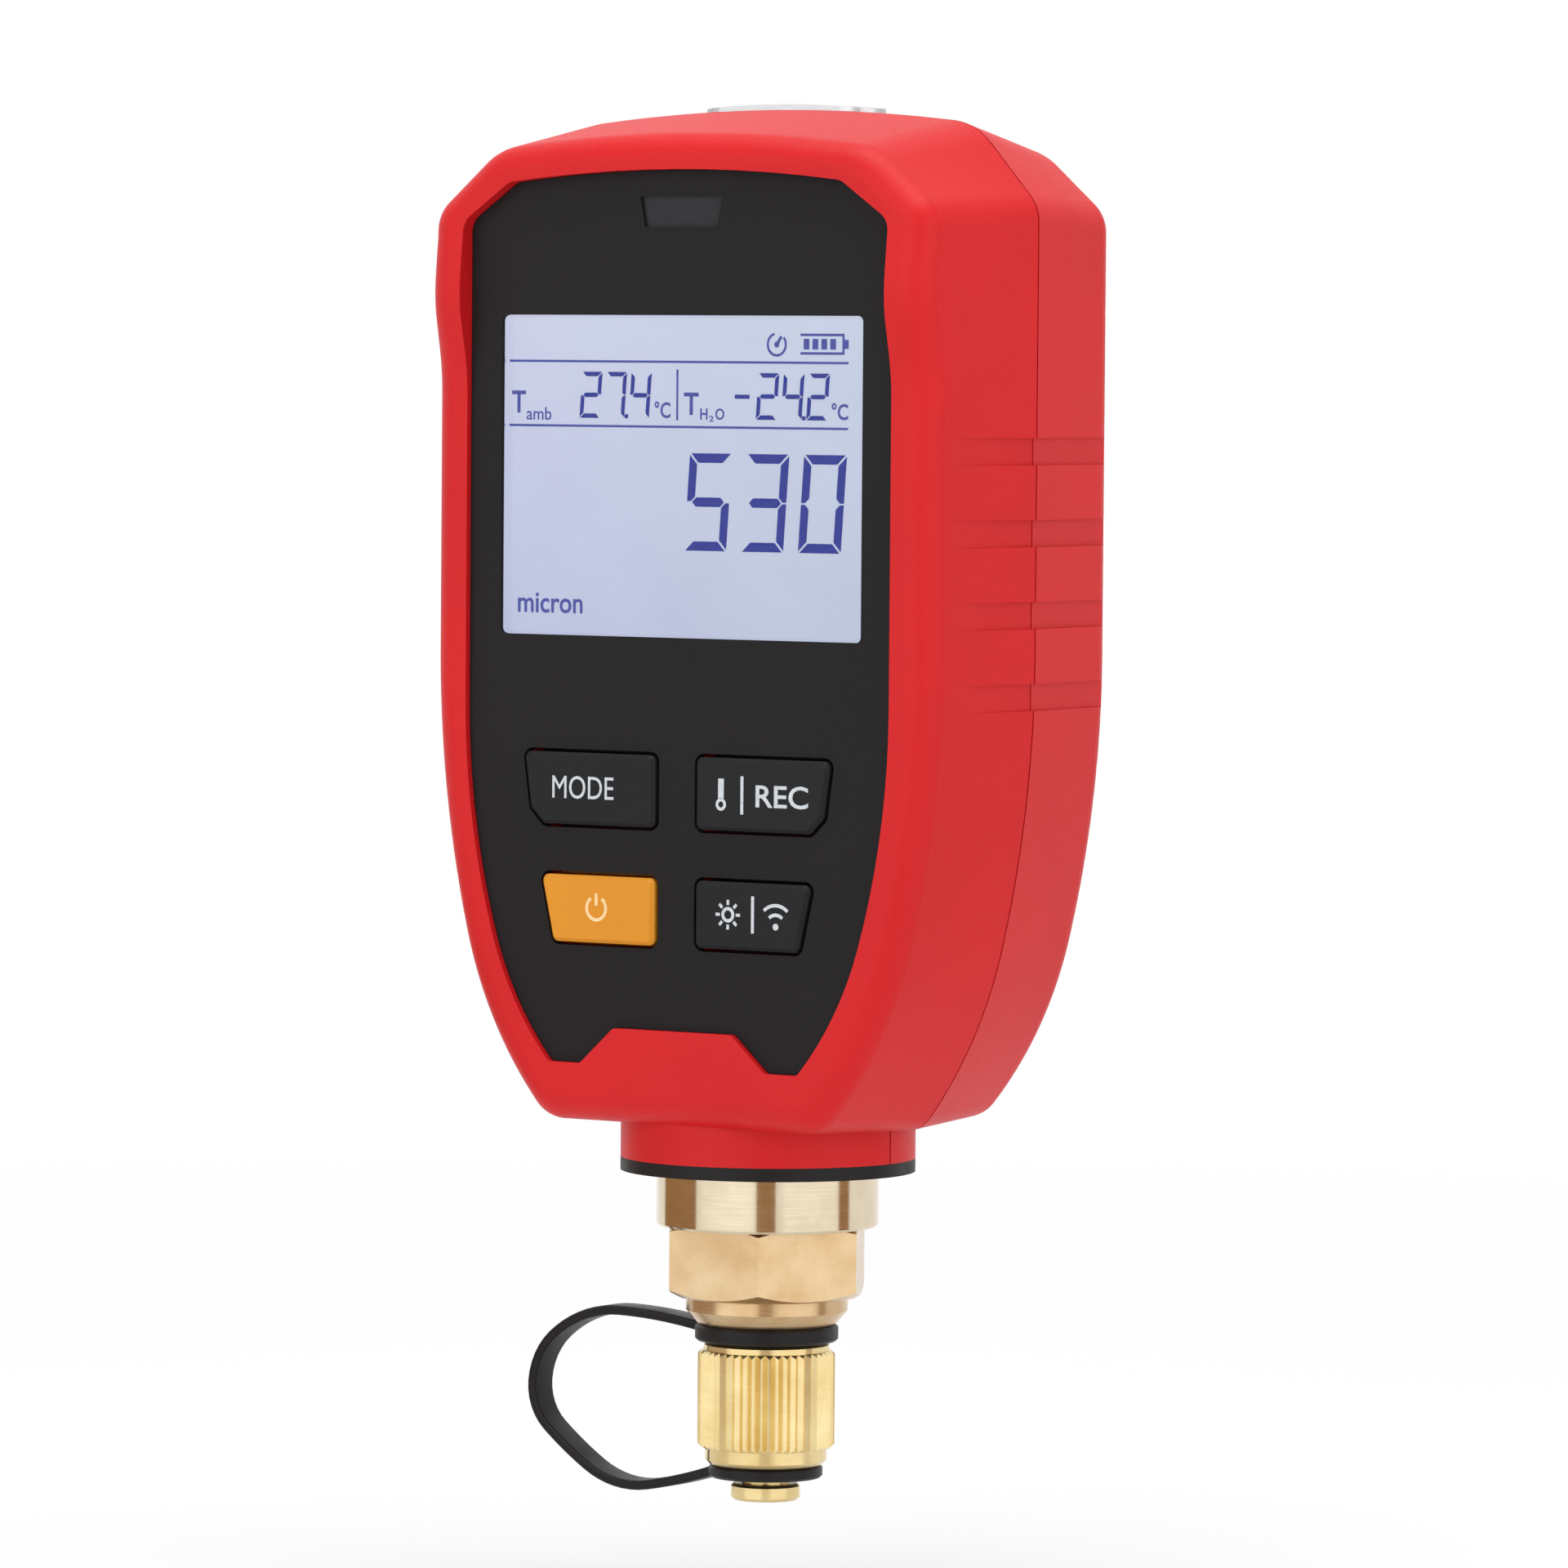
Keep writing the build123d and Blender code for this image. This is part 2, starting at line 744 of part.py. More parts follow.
def keypad_mat():
    """A rubber sheet on the board with a dome behind each key."""
    low_z = low_key_low_z - key_gap - key_flange_lap
    high_z = key_high_z + key_gap + key_flange_lap
    sheet_y = board_front_y - mat_sheet_thickness
    half = key_outer_x + key_gap + key_flange_lap
    body = plate(-half, half, board_step_z, high_z, sheet_y, board_front_y)
    body += plate(-board_low_half_width, board_low_half_width, low_z, board_step_z, sheet_y, board_front_y)
    for outline in keys.values():
        centre = outline.center()
        foot = Plane.XZ.offset(-sheet_y) * (Pos(centre.X, centre.Y) * Circle(dome_base_radius))
        tip = Plane.XZ.offset(-dome_top_y) * (Pos(centre.X, centre.Y) * Circle(dome_top_radius))
        body += loft([foot, tip], ruled=True)
    return body


# Board and what is soldered to it
def main_board():
    body = plate(-board_half_width, board_half_width, board_step_z, board_high_z, board_front_y, board_back_y)
    body += plate(-board_low_half_width, board_low_half_width, board_low_z, board_step_z,
                  board_front_y, board_back_y)
    return body + plate(-board_tongue_half_width, board_tongue_half_width, board_high_z, board_tongue_z,
                        board_front_y, board_back_y)


def indicator_lamp():
    base_y = board_front_y - lamp_base_height
    body = plate(-lamp_half_width, lamp_half_width, lamp_z - lamp_half_height, lamp_z + lamp_half_height,
                 base_y, board_front_y)
    return body + rod(0, lamp_z, lamp_dome_radius, board_front_y - lamp_height, base_y)


def buzzer():
    top_y = board_back_y + buzzer_height
    body = rod(buzzer_x, buzzer_z, buzzer_radius, board_back_y, top_y)
    return body - rod(buzzer_x, buzzer_z, buzzer_hole_radius, board_back_y + buzzer_height / 2, top_y)


def radio_module():
    return plate(-radio_half_width, radio_half_width, radio_low_z, board_tongue_z,
                 board_back_y, board_back_y + radio_thickness)


def radio_shield():
    y = board_back_y + radio_thickness
    half = radio_half_width - radio_margin
    body = plate(-half, half, radio_low_z + radio_margin, board_tongue_z - radio_antenna,
                 y, y + shield_height)
    return fillet(body.faces().sort_by(Axis.Y)[-1].edges(), shield_edge)


def main_chip():
    body = plate(-chip_half_width, chip_half_width, chip_z - chip_half_width, chip_z + chip_half_width,
                 board_back_y + chip_lift, board_back_y + chip_height)
    pitch = 2 * chip_half_width / chip_leg_count
    leg_y = board_back_y + chip_height / 2
    for index in range(chip_leg_count):
        z = chip_z - chip_half_width + (index + 0.5) * pitch
        for side in (-1, 1):
            edge = side * chip_half_width
            x_low, x_high = sorted((edge, edge + side * chip_leg_length))
            body += plate(x_low, x_high, z - chip_leg_width / 2, z + chip_leg_width / 2, board_back_y, leg_y)
    return body


# Batteries
def battery_cell(side):
    """One cell upright in the bay, its nub up on the left and down on the right."""
    x = side * cell_spacing / 2
    base_z = cell_low_z if side < 0 else cell_low_z + cell_nub_length
    nub_z = cell_high_z - cell_nub_length if side < 0 else cell_low_z
    can = Pos(x, cell_centre_y, base_z) * extrude(Circle(cell_radius), cell_length)
    can = fillet(can.edges().filter_by(GeomType.CIRCLE), cell_edge)
    return can + Pos(x, cell_centre_y, nub_z) * extrude(Circle(cell_nub_radius), cell_nub_length)


def contact(x_low, x_high, centres, seat_z, direction):
    """A sprung metal plate on the bay's end wall, with a pressed bump for each cell."""
    face_z = seat_z + direction * contact_plate
    body = plate(x_low, x_high, min(seat_z, face_z), max(seat_z, face_z),
                 bay_floor_y, bay_floor_y + contact_depth)
    for x in centres:
        foot = Plane((x, cell_centre_y, face_z)) * Circle(contact_bump_radius)
        tip = Plane((x, cell_centre_y, face_z + direction * contact_bump)) * Circle(contact_bump_radius / 2)
        body += loft([foot, tip], ruled=True)
    return body


def lower_contacts():
    half = bay_half_width - fit_gap
    return contact(-half, half, (-cell_spacing / 2, cell_spacing / 2), bay_low_z + bay_wall, 1)


def upper_contacts():
    half = bay_half_width - fit_gap
    inner = contact_split / 2
    seat_z = bay_high_z - bay_wall
    return [
        contact(-half, -inner, (-cell_spacing / 2,), seat_z, -1),
        contact(inner, half, (cell_spacing / 2,), seat_z, -1),
    ]


# Fitting and collar
def flare_fitting():
    """One turned brass piece: cone, thread, strap groove, lip, hexagon and the stub above it."""
    body = turned([
        (flare_bore_radius, 0), (flare_tip_radius, 0), (flare_cone_radius, flare_cone_height),
        (flare_thread_radius, flare_cone_height + flare_thread_radius - flare_cone_radius),
        (flare_thread_radius, groove_low_z), (groove_radius, groove_low_z),
        (groove_radius, groove_high_z), (lip_taper_radius, groove_high_z),
        (lip_radius, lip_low_z), (lip_radius, hex_low_z), (stub_radius, hex_low_z + hex_chamfer),
        (stub_radius, stub_high_z), (flare_bore_radius, stub_high_z),
    ])
    corner_radius = hex_across_flats / 2 / math.cos(math.pi / 6)
    corner_chamfer = corner_radius - hex_across_flats / 2
    hexagon = Pos(0, 0, hex_low_z) * extrude(RegularPolygon(corner_radius, 6), hex_height)
    cone = turned([
        (0, hex_low_z), (hex_across_flats / 2 - hex_chamfer / 3, hex_low_z),
        (corner_radius, hex_low_z + hex_chamfer), (corner_radius, hex_high_z - corner_chamfer / 4),
        (corner_radius - corner_chamfer / 2, hex_high_z), (0, hex_high_z),
    ])
    body += hexagon & cone
    body -= tube(flare_bore_radius, 0, 0, stub_high_z)
    return body - inlet_filter()


def inlet_filter():
    return tube(filter_radius, 0, stub_high_z - filter_height, stub_high_z)


def neck_gasket():
    return tube(neck_radius, collar_stem_radius, collar_high_z, neck_low_z)


def sensor_collar():
    edge = collar_edge
    return turned([
        (stub_radius, hex_high_z), (collar_radius - edge, hex_high_z), (collar_radius, hex_high_z + edge),
        (collar_radius, collar_high_z - edge), (collar_radius - edge, collar_high_z),
        (collar_stem_radius, collar_high_z), (collar_stem_radius, flange_low_z),
        (collar_flange_radius, flange_low_z), (collar_flange_radius, flange_high_z),
        (collar_stem_radius, flange_high_z), (collar_stem_radius, stem_high_z),
        (sensor_chamber_radius, stem_high_z), (sensor_chamber_radius, seal_low_z),
        (stub_radius, seal_low_z),
    ])


def sensor_seal():
    ring = Torus(sensor_chamber_radius - o_ring_section, o_ring_section)
    return Pos(0, 0, seal_low_z + o_ring_section) * ring


def sensor_element():
    """A metal can on a header, with its pins up to the small board."""
    body = tube(sensor_chamber_radius - fit_gap, 0, header_low_z, header_high_z)
    body += tube(sensor_can_radius, 0, seal_low_z + fit_gap, header_low_z)
    for angle in range(45, 360, 90):
        x = pin_circle * math.cos(math.radians(angle))
        y = pin_circle * math.sin(math.radians(angle))
        body += Pos(x, y, header_high_z) * extrude(Circle(pin_radius), stem_high_z - header_high_z)
    return body


def sensor_retainer():
    return tube(sensor_chamber_radius, sensor_chamber_radius - retainer_wall,
                header_high_z, header_high_z + retainer_height)


def sensor_board():
    return tube(collar_stem_radius - fit_gap, 0, stem_high_z, stem_high_z + sensor_board_thickness)


def sensor_lead():
    """A flat ribbon from the sensor's board, bent up onto the back of the main board."""
    half = lead_thickness / 2
    low_z = stem_high_z + sensor_board_thickness + half
    board_y = board_back_y + half
    path = FilletPolyline((lead_start_y, low_z), (board_y, low_z), (board_y, board_low_z + lead_lap),
                          radius=lead_bend_radius)
    strip = make_face(offset(path, half, side=Side.BOTH))
    return extrude(Plane.YZ * strip, lead_width / 2, both=True)


# Cap, its seal and the strap
def knurl():
    """Straight ridges round the cap, bevelled at both ends."""
    step = math.pi / knurl_count
    points = []
    for index in range(2 * knurl_count):
        radius = knurl_radius - knurl_depth * (index % 2)
        points.append((radius * math.cos(index * step), radius * math.sin(index * step)))
    ridges = Pos(0, 0, knurl_low_z) * extrude(closed_profile(points), knurl_height)
    root = knurl_radius - knurl_depth
    return ridges & turned([
        (0, knurl_low_z), (root, knurl_low_z), (knurl_radius, knurl_low_z + knurl_depth),
        (knurl_radius, knurl_high_z - knurl_depth), (root, knurl_high_z), (0, knurl_high_z),
    ])


def flare_cap():
    flange_high = cap_low_z - stud_neck_length
    flange_low = flange_high - stud_flange_height
    core = turned([
        (0, cap_high_z), (cap_neck_radius - stud_edge, cap_high_z), (cap_neck_radius, cap_high_z - stud_edge),
        (cap_neck_radius, knurl_low_z), (cap_end_radius, knurl_low_z),
        (cap_end_radius, cap_low_z + cap_end_chamfer), (cap_end_radius - cap_end_chamfer, cap_low_z),
        (stud_neck_radius, cap_low_z), (stud_neck_radius, flange_high),
        (stud_flange_radius - stud_edge, flange_high), (stud_flange_radius, flange_high - stud_edge),
        (stud_flange_radius, flange_low + stud_edge), (stud_flange_radius - stud_edge, flange_low),
        (0, flange_low),
    ])
    return knurl() + core - tube(flare_thread_radius + cap_running_clearance, 0, cap_floor_z, cap_high_z)


def cap_seal():
    return tube(flare_thread_radius, 0, cap_floor_z + seal_gap, -seal_gap)


def cap_tether():
    """One moulded strap: a ring in the fitting's groove, a loop, and a ring round the cap's stud."""
    upper = tube(upper_ring_radius, groove_radius + ring_clearance, groove_low_z + ring_clearance,
                 groove_high_z - ring_clearance)
    lower = tube(lower_ring_radius, stud_neck_radius + ring_clearance, lower_ring_high_z - ring_thickness,
                 lower_ring_high_z)
    upper_z = (groove_low_z + groove_high_z) / 2
    lower_z = lower_ring_high_z - ring_thickness / 2
    places = [(strap_start_x, upper_z)] + strap_places + [(strap_end_x, lower_z)]
    heading = strap_heading
    arcs = []
    for start, end in zip(places, places[1:]):
        arc = TangentArc(start, end, tangent=heading)
        heading = arc % 1
        arcs.append(arc)
    band = make_face(offset(Wire(arcs), strap_thickness / 2, side=Side.BOTH))
    return upper + extrude(Plane.XZ * band, strap_width / 2, both=True) + lower


solids = {
    "front_shell": front_shell(),
    "back_shell": back_shell(),
    "front_panel": front_panel(),
    "display_window": display_window(),
    "indicator_lens": indicator_lens(),
    "keypad_mat": keypad_mat(),
    "display_glass": display_glass(),
    "display_backlight": display_backlight(),
    "display_frame": display_frame(),
    "contact_strip": contact_strip(),
    "main_board": main_board(),
    "indicator_lamp": indicator_lamp(),
    "buzzer": buzzer(),
    "radio_module": radio_module(),
    "radio_shield": radio_shield(),
    "main_chip": main_chip(),
    "battery_cells": [battery_cell(-1), battery_cell(1)],
    "battery_contacts_lower": lower_contacts(),
    "battery_contacts_upper": upper_contacts(),
    "battery_door": battery_door(),
    "door_screw": screw(0, door_screw_z, door_pad_y + door_pad_floor, door_screw_length),
    "shell_screws": [screw(x, z, screw_seat_y, screw_depth) for x, z in boss_places()],
    "neck_gasket": neck_gasket(),
    "sensor_collar": sensor_collar(),
    "flare_fitting": flare_fitting(),
    "inlet_filter": inlet_filter(),
    "sensor_seal": sensor_seal(),
    "sensor_element": sensor_element(),
    "sensor_retainer": sensor_retainer(),
    "sensor_board": sensor_board(),
    "sensor_lead": sensor_lead(),
    "magnet_cup": magnet_cup(),
    "magnet": magnet(),
    "cap_tether": cap_tether(),
    "cap_seal": cap_seal(),
    "flare_cap": flare_cap(),
}
for name, outline in keys.items():
    solids[name] = keycap(outline)

os.makedirs("parts", exist_ok=True)
for name, solid in solids.items():
    if isinstance(solid, list):
        solid = Compound(children=[piece.solid() for piece in solid])
    export_step(solid, f"parts/{name}.step")
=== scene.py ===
import json
import math

import bmesh
import bpy
from mathutils import Matrix, Vector


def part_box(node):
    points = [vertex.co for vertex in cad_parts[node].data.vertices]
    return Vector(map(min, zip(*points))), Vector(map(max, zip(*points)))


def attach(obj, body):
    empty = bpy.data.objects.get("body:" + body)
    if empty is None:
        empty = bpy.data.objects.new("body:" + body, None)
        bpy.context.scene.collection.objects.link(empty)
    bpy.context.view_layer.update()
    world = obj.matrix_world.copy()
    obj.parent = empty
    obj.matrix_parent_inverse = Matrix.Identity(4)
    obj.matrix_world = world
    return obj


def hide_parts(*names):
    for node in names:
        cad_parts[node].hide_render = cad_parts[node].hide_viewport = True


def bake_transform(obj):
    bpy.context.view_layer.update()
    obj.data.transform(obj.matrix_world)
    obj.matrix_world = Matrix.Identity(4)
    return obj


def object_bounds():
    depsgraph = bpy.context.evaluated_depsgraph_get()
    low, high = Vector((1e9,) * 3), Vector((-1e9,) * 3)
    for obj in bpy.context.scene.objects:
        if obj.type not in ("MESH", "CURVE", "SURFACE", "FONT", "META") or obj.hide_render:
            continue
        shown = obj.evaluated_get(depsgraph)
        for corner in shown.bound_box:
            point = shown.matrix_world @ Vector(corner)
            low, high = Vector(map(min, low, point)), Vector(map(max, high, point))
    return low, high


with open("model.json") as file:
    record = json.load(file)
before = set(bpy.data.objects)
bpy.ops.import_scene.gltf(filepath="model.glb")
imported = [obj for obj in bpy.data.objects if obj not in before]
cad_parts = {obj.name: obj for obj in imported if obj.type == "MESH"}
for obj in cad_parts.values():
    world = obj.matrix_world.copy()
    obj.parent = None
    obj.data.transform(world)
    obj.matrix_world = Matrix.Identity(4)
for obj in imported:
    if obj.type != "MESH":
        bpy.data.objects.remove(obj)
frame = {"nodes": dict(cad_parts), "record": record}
cad_low, cad_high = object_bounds()
MM = 0.001

# Camera at the photograph's viewpoint: place in metres, azimuth in degrees, lens and sensor in millimetres
camera_place = Vector((0.5367, -0.7716, 0.1090))
camera_right = Vector((0.8215, 0.5701, 0.0077))
camera_up = Vector((-0.0320, 0.0326, 0.9989))
camera_azimuth = 34.7
camera_lens = 212.8
sensor_width = 36.0

# Marks on the display, in millimetres, where the photograph shows them on the panel's face. The glass
# lies deeper, so they shift by the slope of the line of sight, in air and in the window.
# A box is (x low, x high, z low, z high), an upright bar (x, z low, z high) and a centre (x, z)
ink_thickness = 0.02
letter_weld = 0.0001
air_slope = 0.69
glass_slope = 0.53
line_height = 0.24
upper_line_z = 109.35
lower_line_z = 102.85
line_ends = (-21.15, 20.4)
divider = (-0.32, 103.5, 108.6)
small_digit = {"width": 2.5, "height": 4.65, "stroke": 0.46, "shear": 0.34, "pitch": 3.05}
large_digit = {"width": 5.15, "height": 9.75, "stroke": 0.95, "shear": 0.68, "pitch": 6.93}
small_digit_z = 103.65
large_digit_z = 90.5
ambient_x = -12.4
dew_x = 9.25
pressure_x = 0.62
# Each has its text, its box as (x low, x high, z low, z high), and the weight added to its strokes
display_words = [
    ("T", (-20.85, -19.1, 104.1, 106.35), 0.02),
    ("amb", (-19.0, -15.9, 103.4, 104.7), 0.008),
    ("°C", (-3.1, -1.15, 103.7, 105.4), 0.02),
    ("T", (0.5, 2.3, 104.05, 106.3), 0.02),
    ("H", (2.5, 3.4, 103.6, 104.75), 0.02),
    ("2", (3.6, 4.15, 103.4, 104.0), 0.02),
    ("O", (4.35, 5.45, 103.6, 104.75), 0.02),
    ("°C", (18.4, 20.4, 103.7, 105.4), 0.02),
    ("micron", (-19.95, -11.85, 83.9, 85.95), 0.015),
]
stroke_gap = 0.16
dot_size = 0.42
minus_box = (6.7, 8.5, 105.72, 106.14)
battery_box = (14.6, 19.9, 110.15, 112.25)
battery_nub = (19.9, 20.4, 110.75, 111.65)
battery_bars = 4
battery_bar_share = 0.65
timer_centre = (11.75, 111.15)
timer_radius = 1.22
timer_arc = (105, 400)
timer_hand = 55
thin_ink = 0.26

# Marks on the keys, in millimetres
legend_thickness = 0.03
bar_width = 0.34
mode_box = (-15.05, -7.45, 65.3, 67.6)
record_box = (9.97, 16.3, 65.15, 67.4)
record_weight = 0.012
record_bar = (8.3, 64.4, 68.2)
thermometer = (5.75, 64.7, 67.9)
bulb_radius = 0.62
power_centre = (-9.5, 54.35)
power_radius = 1.35
power_arc = (125, 415)
sun_centre = (6.7, 54.35)
sun_radius = 0.78
sun_rays = 8
light_bar = (9.7, 52.6, 56.3)
wave_foot = (12.5, 53.35)
wave_radii = (1.35, 2.3)
wave_arc = (48, 132)

# Strap, in millimetres and degrees: the solid's own sizes, and its route as (x, z)
strap_width = 3.3
strap_thickness = 1.0
strap_corner = 0.3
strap_corner_steps = 4
strap_crease = 40
strap_heading = (-1.0, 0.2)
strap_route = [(-6.4, 10.83), (-17.5, 12.0), (-26.0, 8.9), (-28.5, 4.0), (-26.6, -0.6), (-21.5, -4.3),
               (-14.0, -5.75), (-4.8, -3.33)]
upper_ring = {"outer": 7.3, "inner": 4.95, "low": 10.0, "high": 11.65}
lower_ring = {"outer": 5.8, "inner": 2.45, "low": -3.95, "high": -2.7}
ring_edge = 0.25
ring_steps = 96

# Studio, in metres and degrees: azimuths are measured round from the camera, and levels are radiances.
# The floor's own light hides the horizon: its share near the part and far off, between two distances
floor_radius = 6.0
floor_steps = 96
floor_grey = 0.86
floor_share = (0.55, 1.0)
floor_fade = (0.12, 0.6)
ambient_level = 0.42
left_box = {"azimuth": -43, "elevation": 12, "distance": 1.3, "width": 1.5, "height": 1.3, "level": 1.25}
right_box = {"azimuth": 46, "elevation": 10, "distance": 1.3, "width": 1.5, "height": 1.3, "level": 1.15}
top_box = {"azimuth": 10, "elevation": 84, "distance": 1.2, "width": 1.2, "height": 1.0, "level": 3.5}
card_spans = [(-11, 8), (-129, -76), (76, 90)]
card_step = 5
card_distance = 0.12
card_top = 0.05
card_colour = (163, 125, 88)


def rgb(red, green, blue):
    """A colour as the eye reads it, 0 to 255, in the renderer's linear values."""
    values = []
    for part in (red, green, blue):
        share = part / 255
        values.append(share / 12.92 if share <= 0.04045 else ((share + 0.055) / 1.055) ** 2.4)
    return (*values, 1.0)


# Camera
def make_camera():
    data = bpy.data.cameras.new("camera")
    data.lens = camera_lens
    data.sensor_width = sensor_width
    data.clip_end = 100.0
    camera = bpy.data.objects.new("camera", data)
    bpy.context.scene.collection.objects.link(camera)
    back = camera_right.cross(camera_up).normalized()
    right = camera_up.cross(back).normalized()
    up = back.cross(right).normalized()
    turn = Matrix((right, up, back)).transposed().to_4x4()
    camera.matrix_world = Matrix.Translation(camera_place) @ turn
    bpy.context.scene.camera = camera


# Finishes
class Finish:
    """A material with one shader, and the few textures that the finishes share."""

    def __init__(self, name, colour, roughness, metallic=0.0, specular=0.5):
        self.material = bpy.data.materials.new(name)
        self.material.use_nodes = True
        self.tree = self.material.node_tree
        self.shader = self.tree.nodes["Principled BSDF"]
        self.set("Base Color", colour)
        self.set("Roughness", roughness)
        self.set("Metallic", metallic)
        self.set("Specular IOR Level", specular)
        self.place = self.tree.nodes.new("ShaderNodeTexCoord").outputs["Object"]

    def set(self, socket, value):
        self.shader.inputs[socket].default_value = value

    def link(self, source, target):
        self.tree.links.new(source, target)

    def noise(self, size, stretch=(1.0, 1.0, 1.0), detail=2.0):
        """Noise with features of about this size in metres, longer along an axis with a small stretch."""
        mapping = self.tree.nodes.new("ShaderNodeMapping")
        mapping.inputs["Scale"].default_value = stretch
        self.link(self.place, mapping.inputs["Vector"])
        noise = self.tree.nodes.new("ShaderNodeTexNoise")
        noise.inputs["Scale"].default_value = 1 / size
        noise.inputs["Detail"].default_value = detail
        self.link(mapping.outputs["Vector"], noise.inputs["Vector"])
        return noise.outputs["Fac"]

    def blend_colours(self, factor, low, high, start=0.35, end=0.65):
        ramp = self.tree.nodes.new("ShaderNodeValToRGB")
        first, last = ramp.color_ramp.elements
        first.position, last.position = start, end
        first.color, last.color = low, high
        self.link(factor, ramp.inputs["Fac"])
        return ramp.outputs["Color"]

    def vary_colour(self, factor, low, high, start=0.35, end=0.65):
        self.link(self.blend_colours(factor, low, high, start, end), self.shader.inputs["Base Color"])

    def vary_roughness(self, factor, low, high):
        """Roughness from low to high over the middle of a noise's range, where most of it lies."""
        span = self.tree.nodes.new("ShaderNodeMapRange")
        span.inputs["From Min"].default_value = 0.3
        span.inputs["From Max"].default_value = 0.7
        span.inputs["To Min"].default_value = low
        span.inputs["To Max"].default_value = high
        self.link(factor, span.inputs["Value"])
        self.link(span.outputs["Result"], self.shader.inputs["Roughness"])

    def bump(self, height, depth):
        """Relief of this depth in metres, on top of any that is there already."""
        bump = self.tree.nodes.new("ShaderNodeBump")
        bump.inputs["Distance"].default_value = depth
        self.link(height, bump.inputs["Height"])
        if self.shader.inputs["Normal"].is_linked:
            self.link(self.shader.inputs["Normal"].links[0].from_socket, bump.inputs["Normal"])
        self.link(bump.outputs["Normal"], self.shader.inputs["Normal"])


def moulded(name, colour, roughness=0.45, specular=0.4, grain=0.00025, relief=0.000012):
    """Moulded plastic: an even colour that drifts a little, under a fine spark-eroded grain."""
    finish = Finish(name, colour, roughness, specular=specular)
    darker = tuple(0.94 * part for part in colour[:3]) + (1.0,)
    finish.vary_colour(finish.noise(0.02), darker, colour)
    grain_noise = finish.noise(grain, detail=3.0)
    finish.vary_roughness(grain_noise, roughness - 0.04, roughness + 0.05)
    finish.bump(grain_noise, relief)
    return finish.material


def turned_metal(name, light, dark, roughness, groove=0.00009, relief=0.0000012):
    """Metal off a lathe: feed marks round the Z axis and a slow drift of its colour."""
    finish = Finish(name, light, roughness, metallic=1.0)
    rings = finish.noise(groove, stretch=(0.02, 0.02, 1.0), detail=3.0)
    finish.vary_colour(finish.noise(0.004, detail=4.0), dark, light, 0.3, 0.7)
    finish.vary_roughness(rings, roughness - 0.03, roughness + 0.06)
    finish.bump(rings, relief)
    tangent = finish.tree.nodes.new("ShaderNodeTangent")
    tangent.direction_type = "RADIAL"
    tangent.axis = "Z"
    finish.link(tangent.outputs["Tangent"], finish.shader.inputs["Tangent"])
    finish.set("Anisotropic", 0.7)
    finish.set("Anisotropic Rotation", 0.25)
    return finish.material


def brushed_metal(name, light, dark, roughness, stretch=(0.05, 1.0, 1.0)):
    """Plated metal with fine parallel scratches."""
    finish = Finish(name, light, roughness, metallic=1.0)
    scratches = finish.noise(0.00012, stretch=stretch, detail=4.0)
    finish.vary_colour(scratches, dark, light)
    finish.vary_roughness(scratches, roughness - 0.05, roughness + 0.08)
    finish.bump(scratches, 0.000001)
    return finish.material


def soft_rubber(name, colour, roughness=0.5):
    finish = Finish(name, colour, roughness, specular=0.22)
    paler = tuple(1.35 * part for part in colour[:3]) + (1.0,)
    bloom = finish.noise(0.003, detail=4.0)
    finish.vary_colour(bloom, colour, paler)
    finish.vary_roughness(bloom, roughness - 0.06, roughness + 0.08)
    finish.bump(finish.noise(0.00018, detail=3.0), 0.000008)
    return finish.material


def clear_window():
    """Clear moulded plastic, faintly uneven in tint, its index low for the anti-glare coat."""
    tint = (0.99, 0.995, 1.0, 1.0)
    finish = Finish("clear_window", tint, 0.0)
    finish.set("Transmission Weight", 1.0)
    finish.set("IOR", 1.2)
    finish.vary_colour(finish.noise(0.01, detail=3.0), (0.975, 0.98, 0.99, 1.0), tint)
    return finish.material


def lit_display():
    """The liquid crystal's glow: its backlight, and painted light in place of the lamplight that the window
    keeps off it. Lavender on the left, paler and cooler toward the upper right, darker toward the bottom.
    """
    finish = Finish("display_glass", rgb(12, 14, 20), 0.3, specular=0.08)
    low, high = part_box("display_glass")
    split = finish.tree.nodes.new("ShaderNodeSeparateXYZ")
    finish.link(finish.place, split.inputs["Vector"])

    def share_of(axis, start, end):
        """How far a place lies from start to end along an axis, 0 to 1."""
        share = finish.tree.nodes.new("ShaderNodeMapRange")
        share.inputs["From Min"].default_value = start
        share.inputs["From Max"].default_value = end
        finish.link(split.outputs[axis], share.inputs["Value"])
        return share.outputs["Result"]

    across = share_of("X", low.x, high.x)
    upward = share_of("Z", low.z, high.z)
    upper = finish.blend_colours(across, rgb(202, 207, 230), rgb(199, 208, 227), 0.1, 0.8)
    lower = finish.blend_colours(across, rgb(187, 193, 221), rgb(186, 195, 217), 0.1, 0.8)
    mix = finish.tree.nodes.new("ShaderNodeMix")
    mix.data_type = "RGBA"
    finish.link(upward, mix.inputs["Factor"])
    finish.link(lower, mix.inputs["A"])
    finish.link(upper, mix.inputs["B"])
    duller = (0.96, 0.96, 0.97, 1.0)
    white = (1.0, 1.0, 1.0, 1.0)
    cloud = finish.blend_colours(finish.noise(0.012, detail=2.0), duller, white)
    shade = finish.tree.nodes.new("ShaderNodeMix")
    shade.data_type = "RGBA"
    shade.blend_type = "MULTIPLY"
    shade.inputs["Factor"].default_value = 1.0
    finish.link(mix.outputs["Result"], shade.inputs["A"])
    finish.link(cloud, shade.inputs["B"])
    # Painted light: the glow stands in for the backlight and for the lamplight that the window keeps off the
    # liquid crystal.
    finish.link(shade.outputs["Result"], finish.shader.inputs["Emission Color"])
    finish.set("Emission Strength", 0.98)
    return finish.material


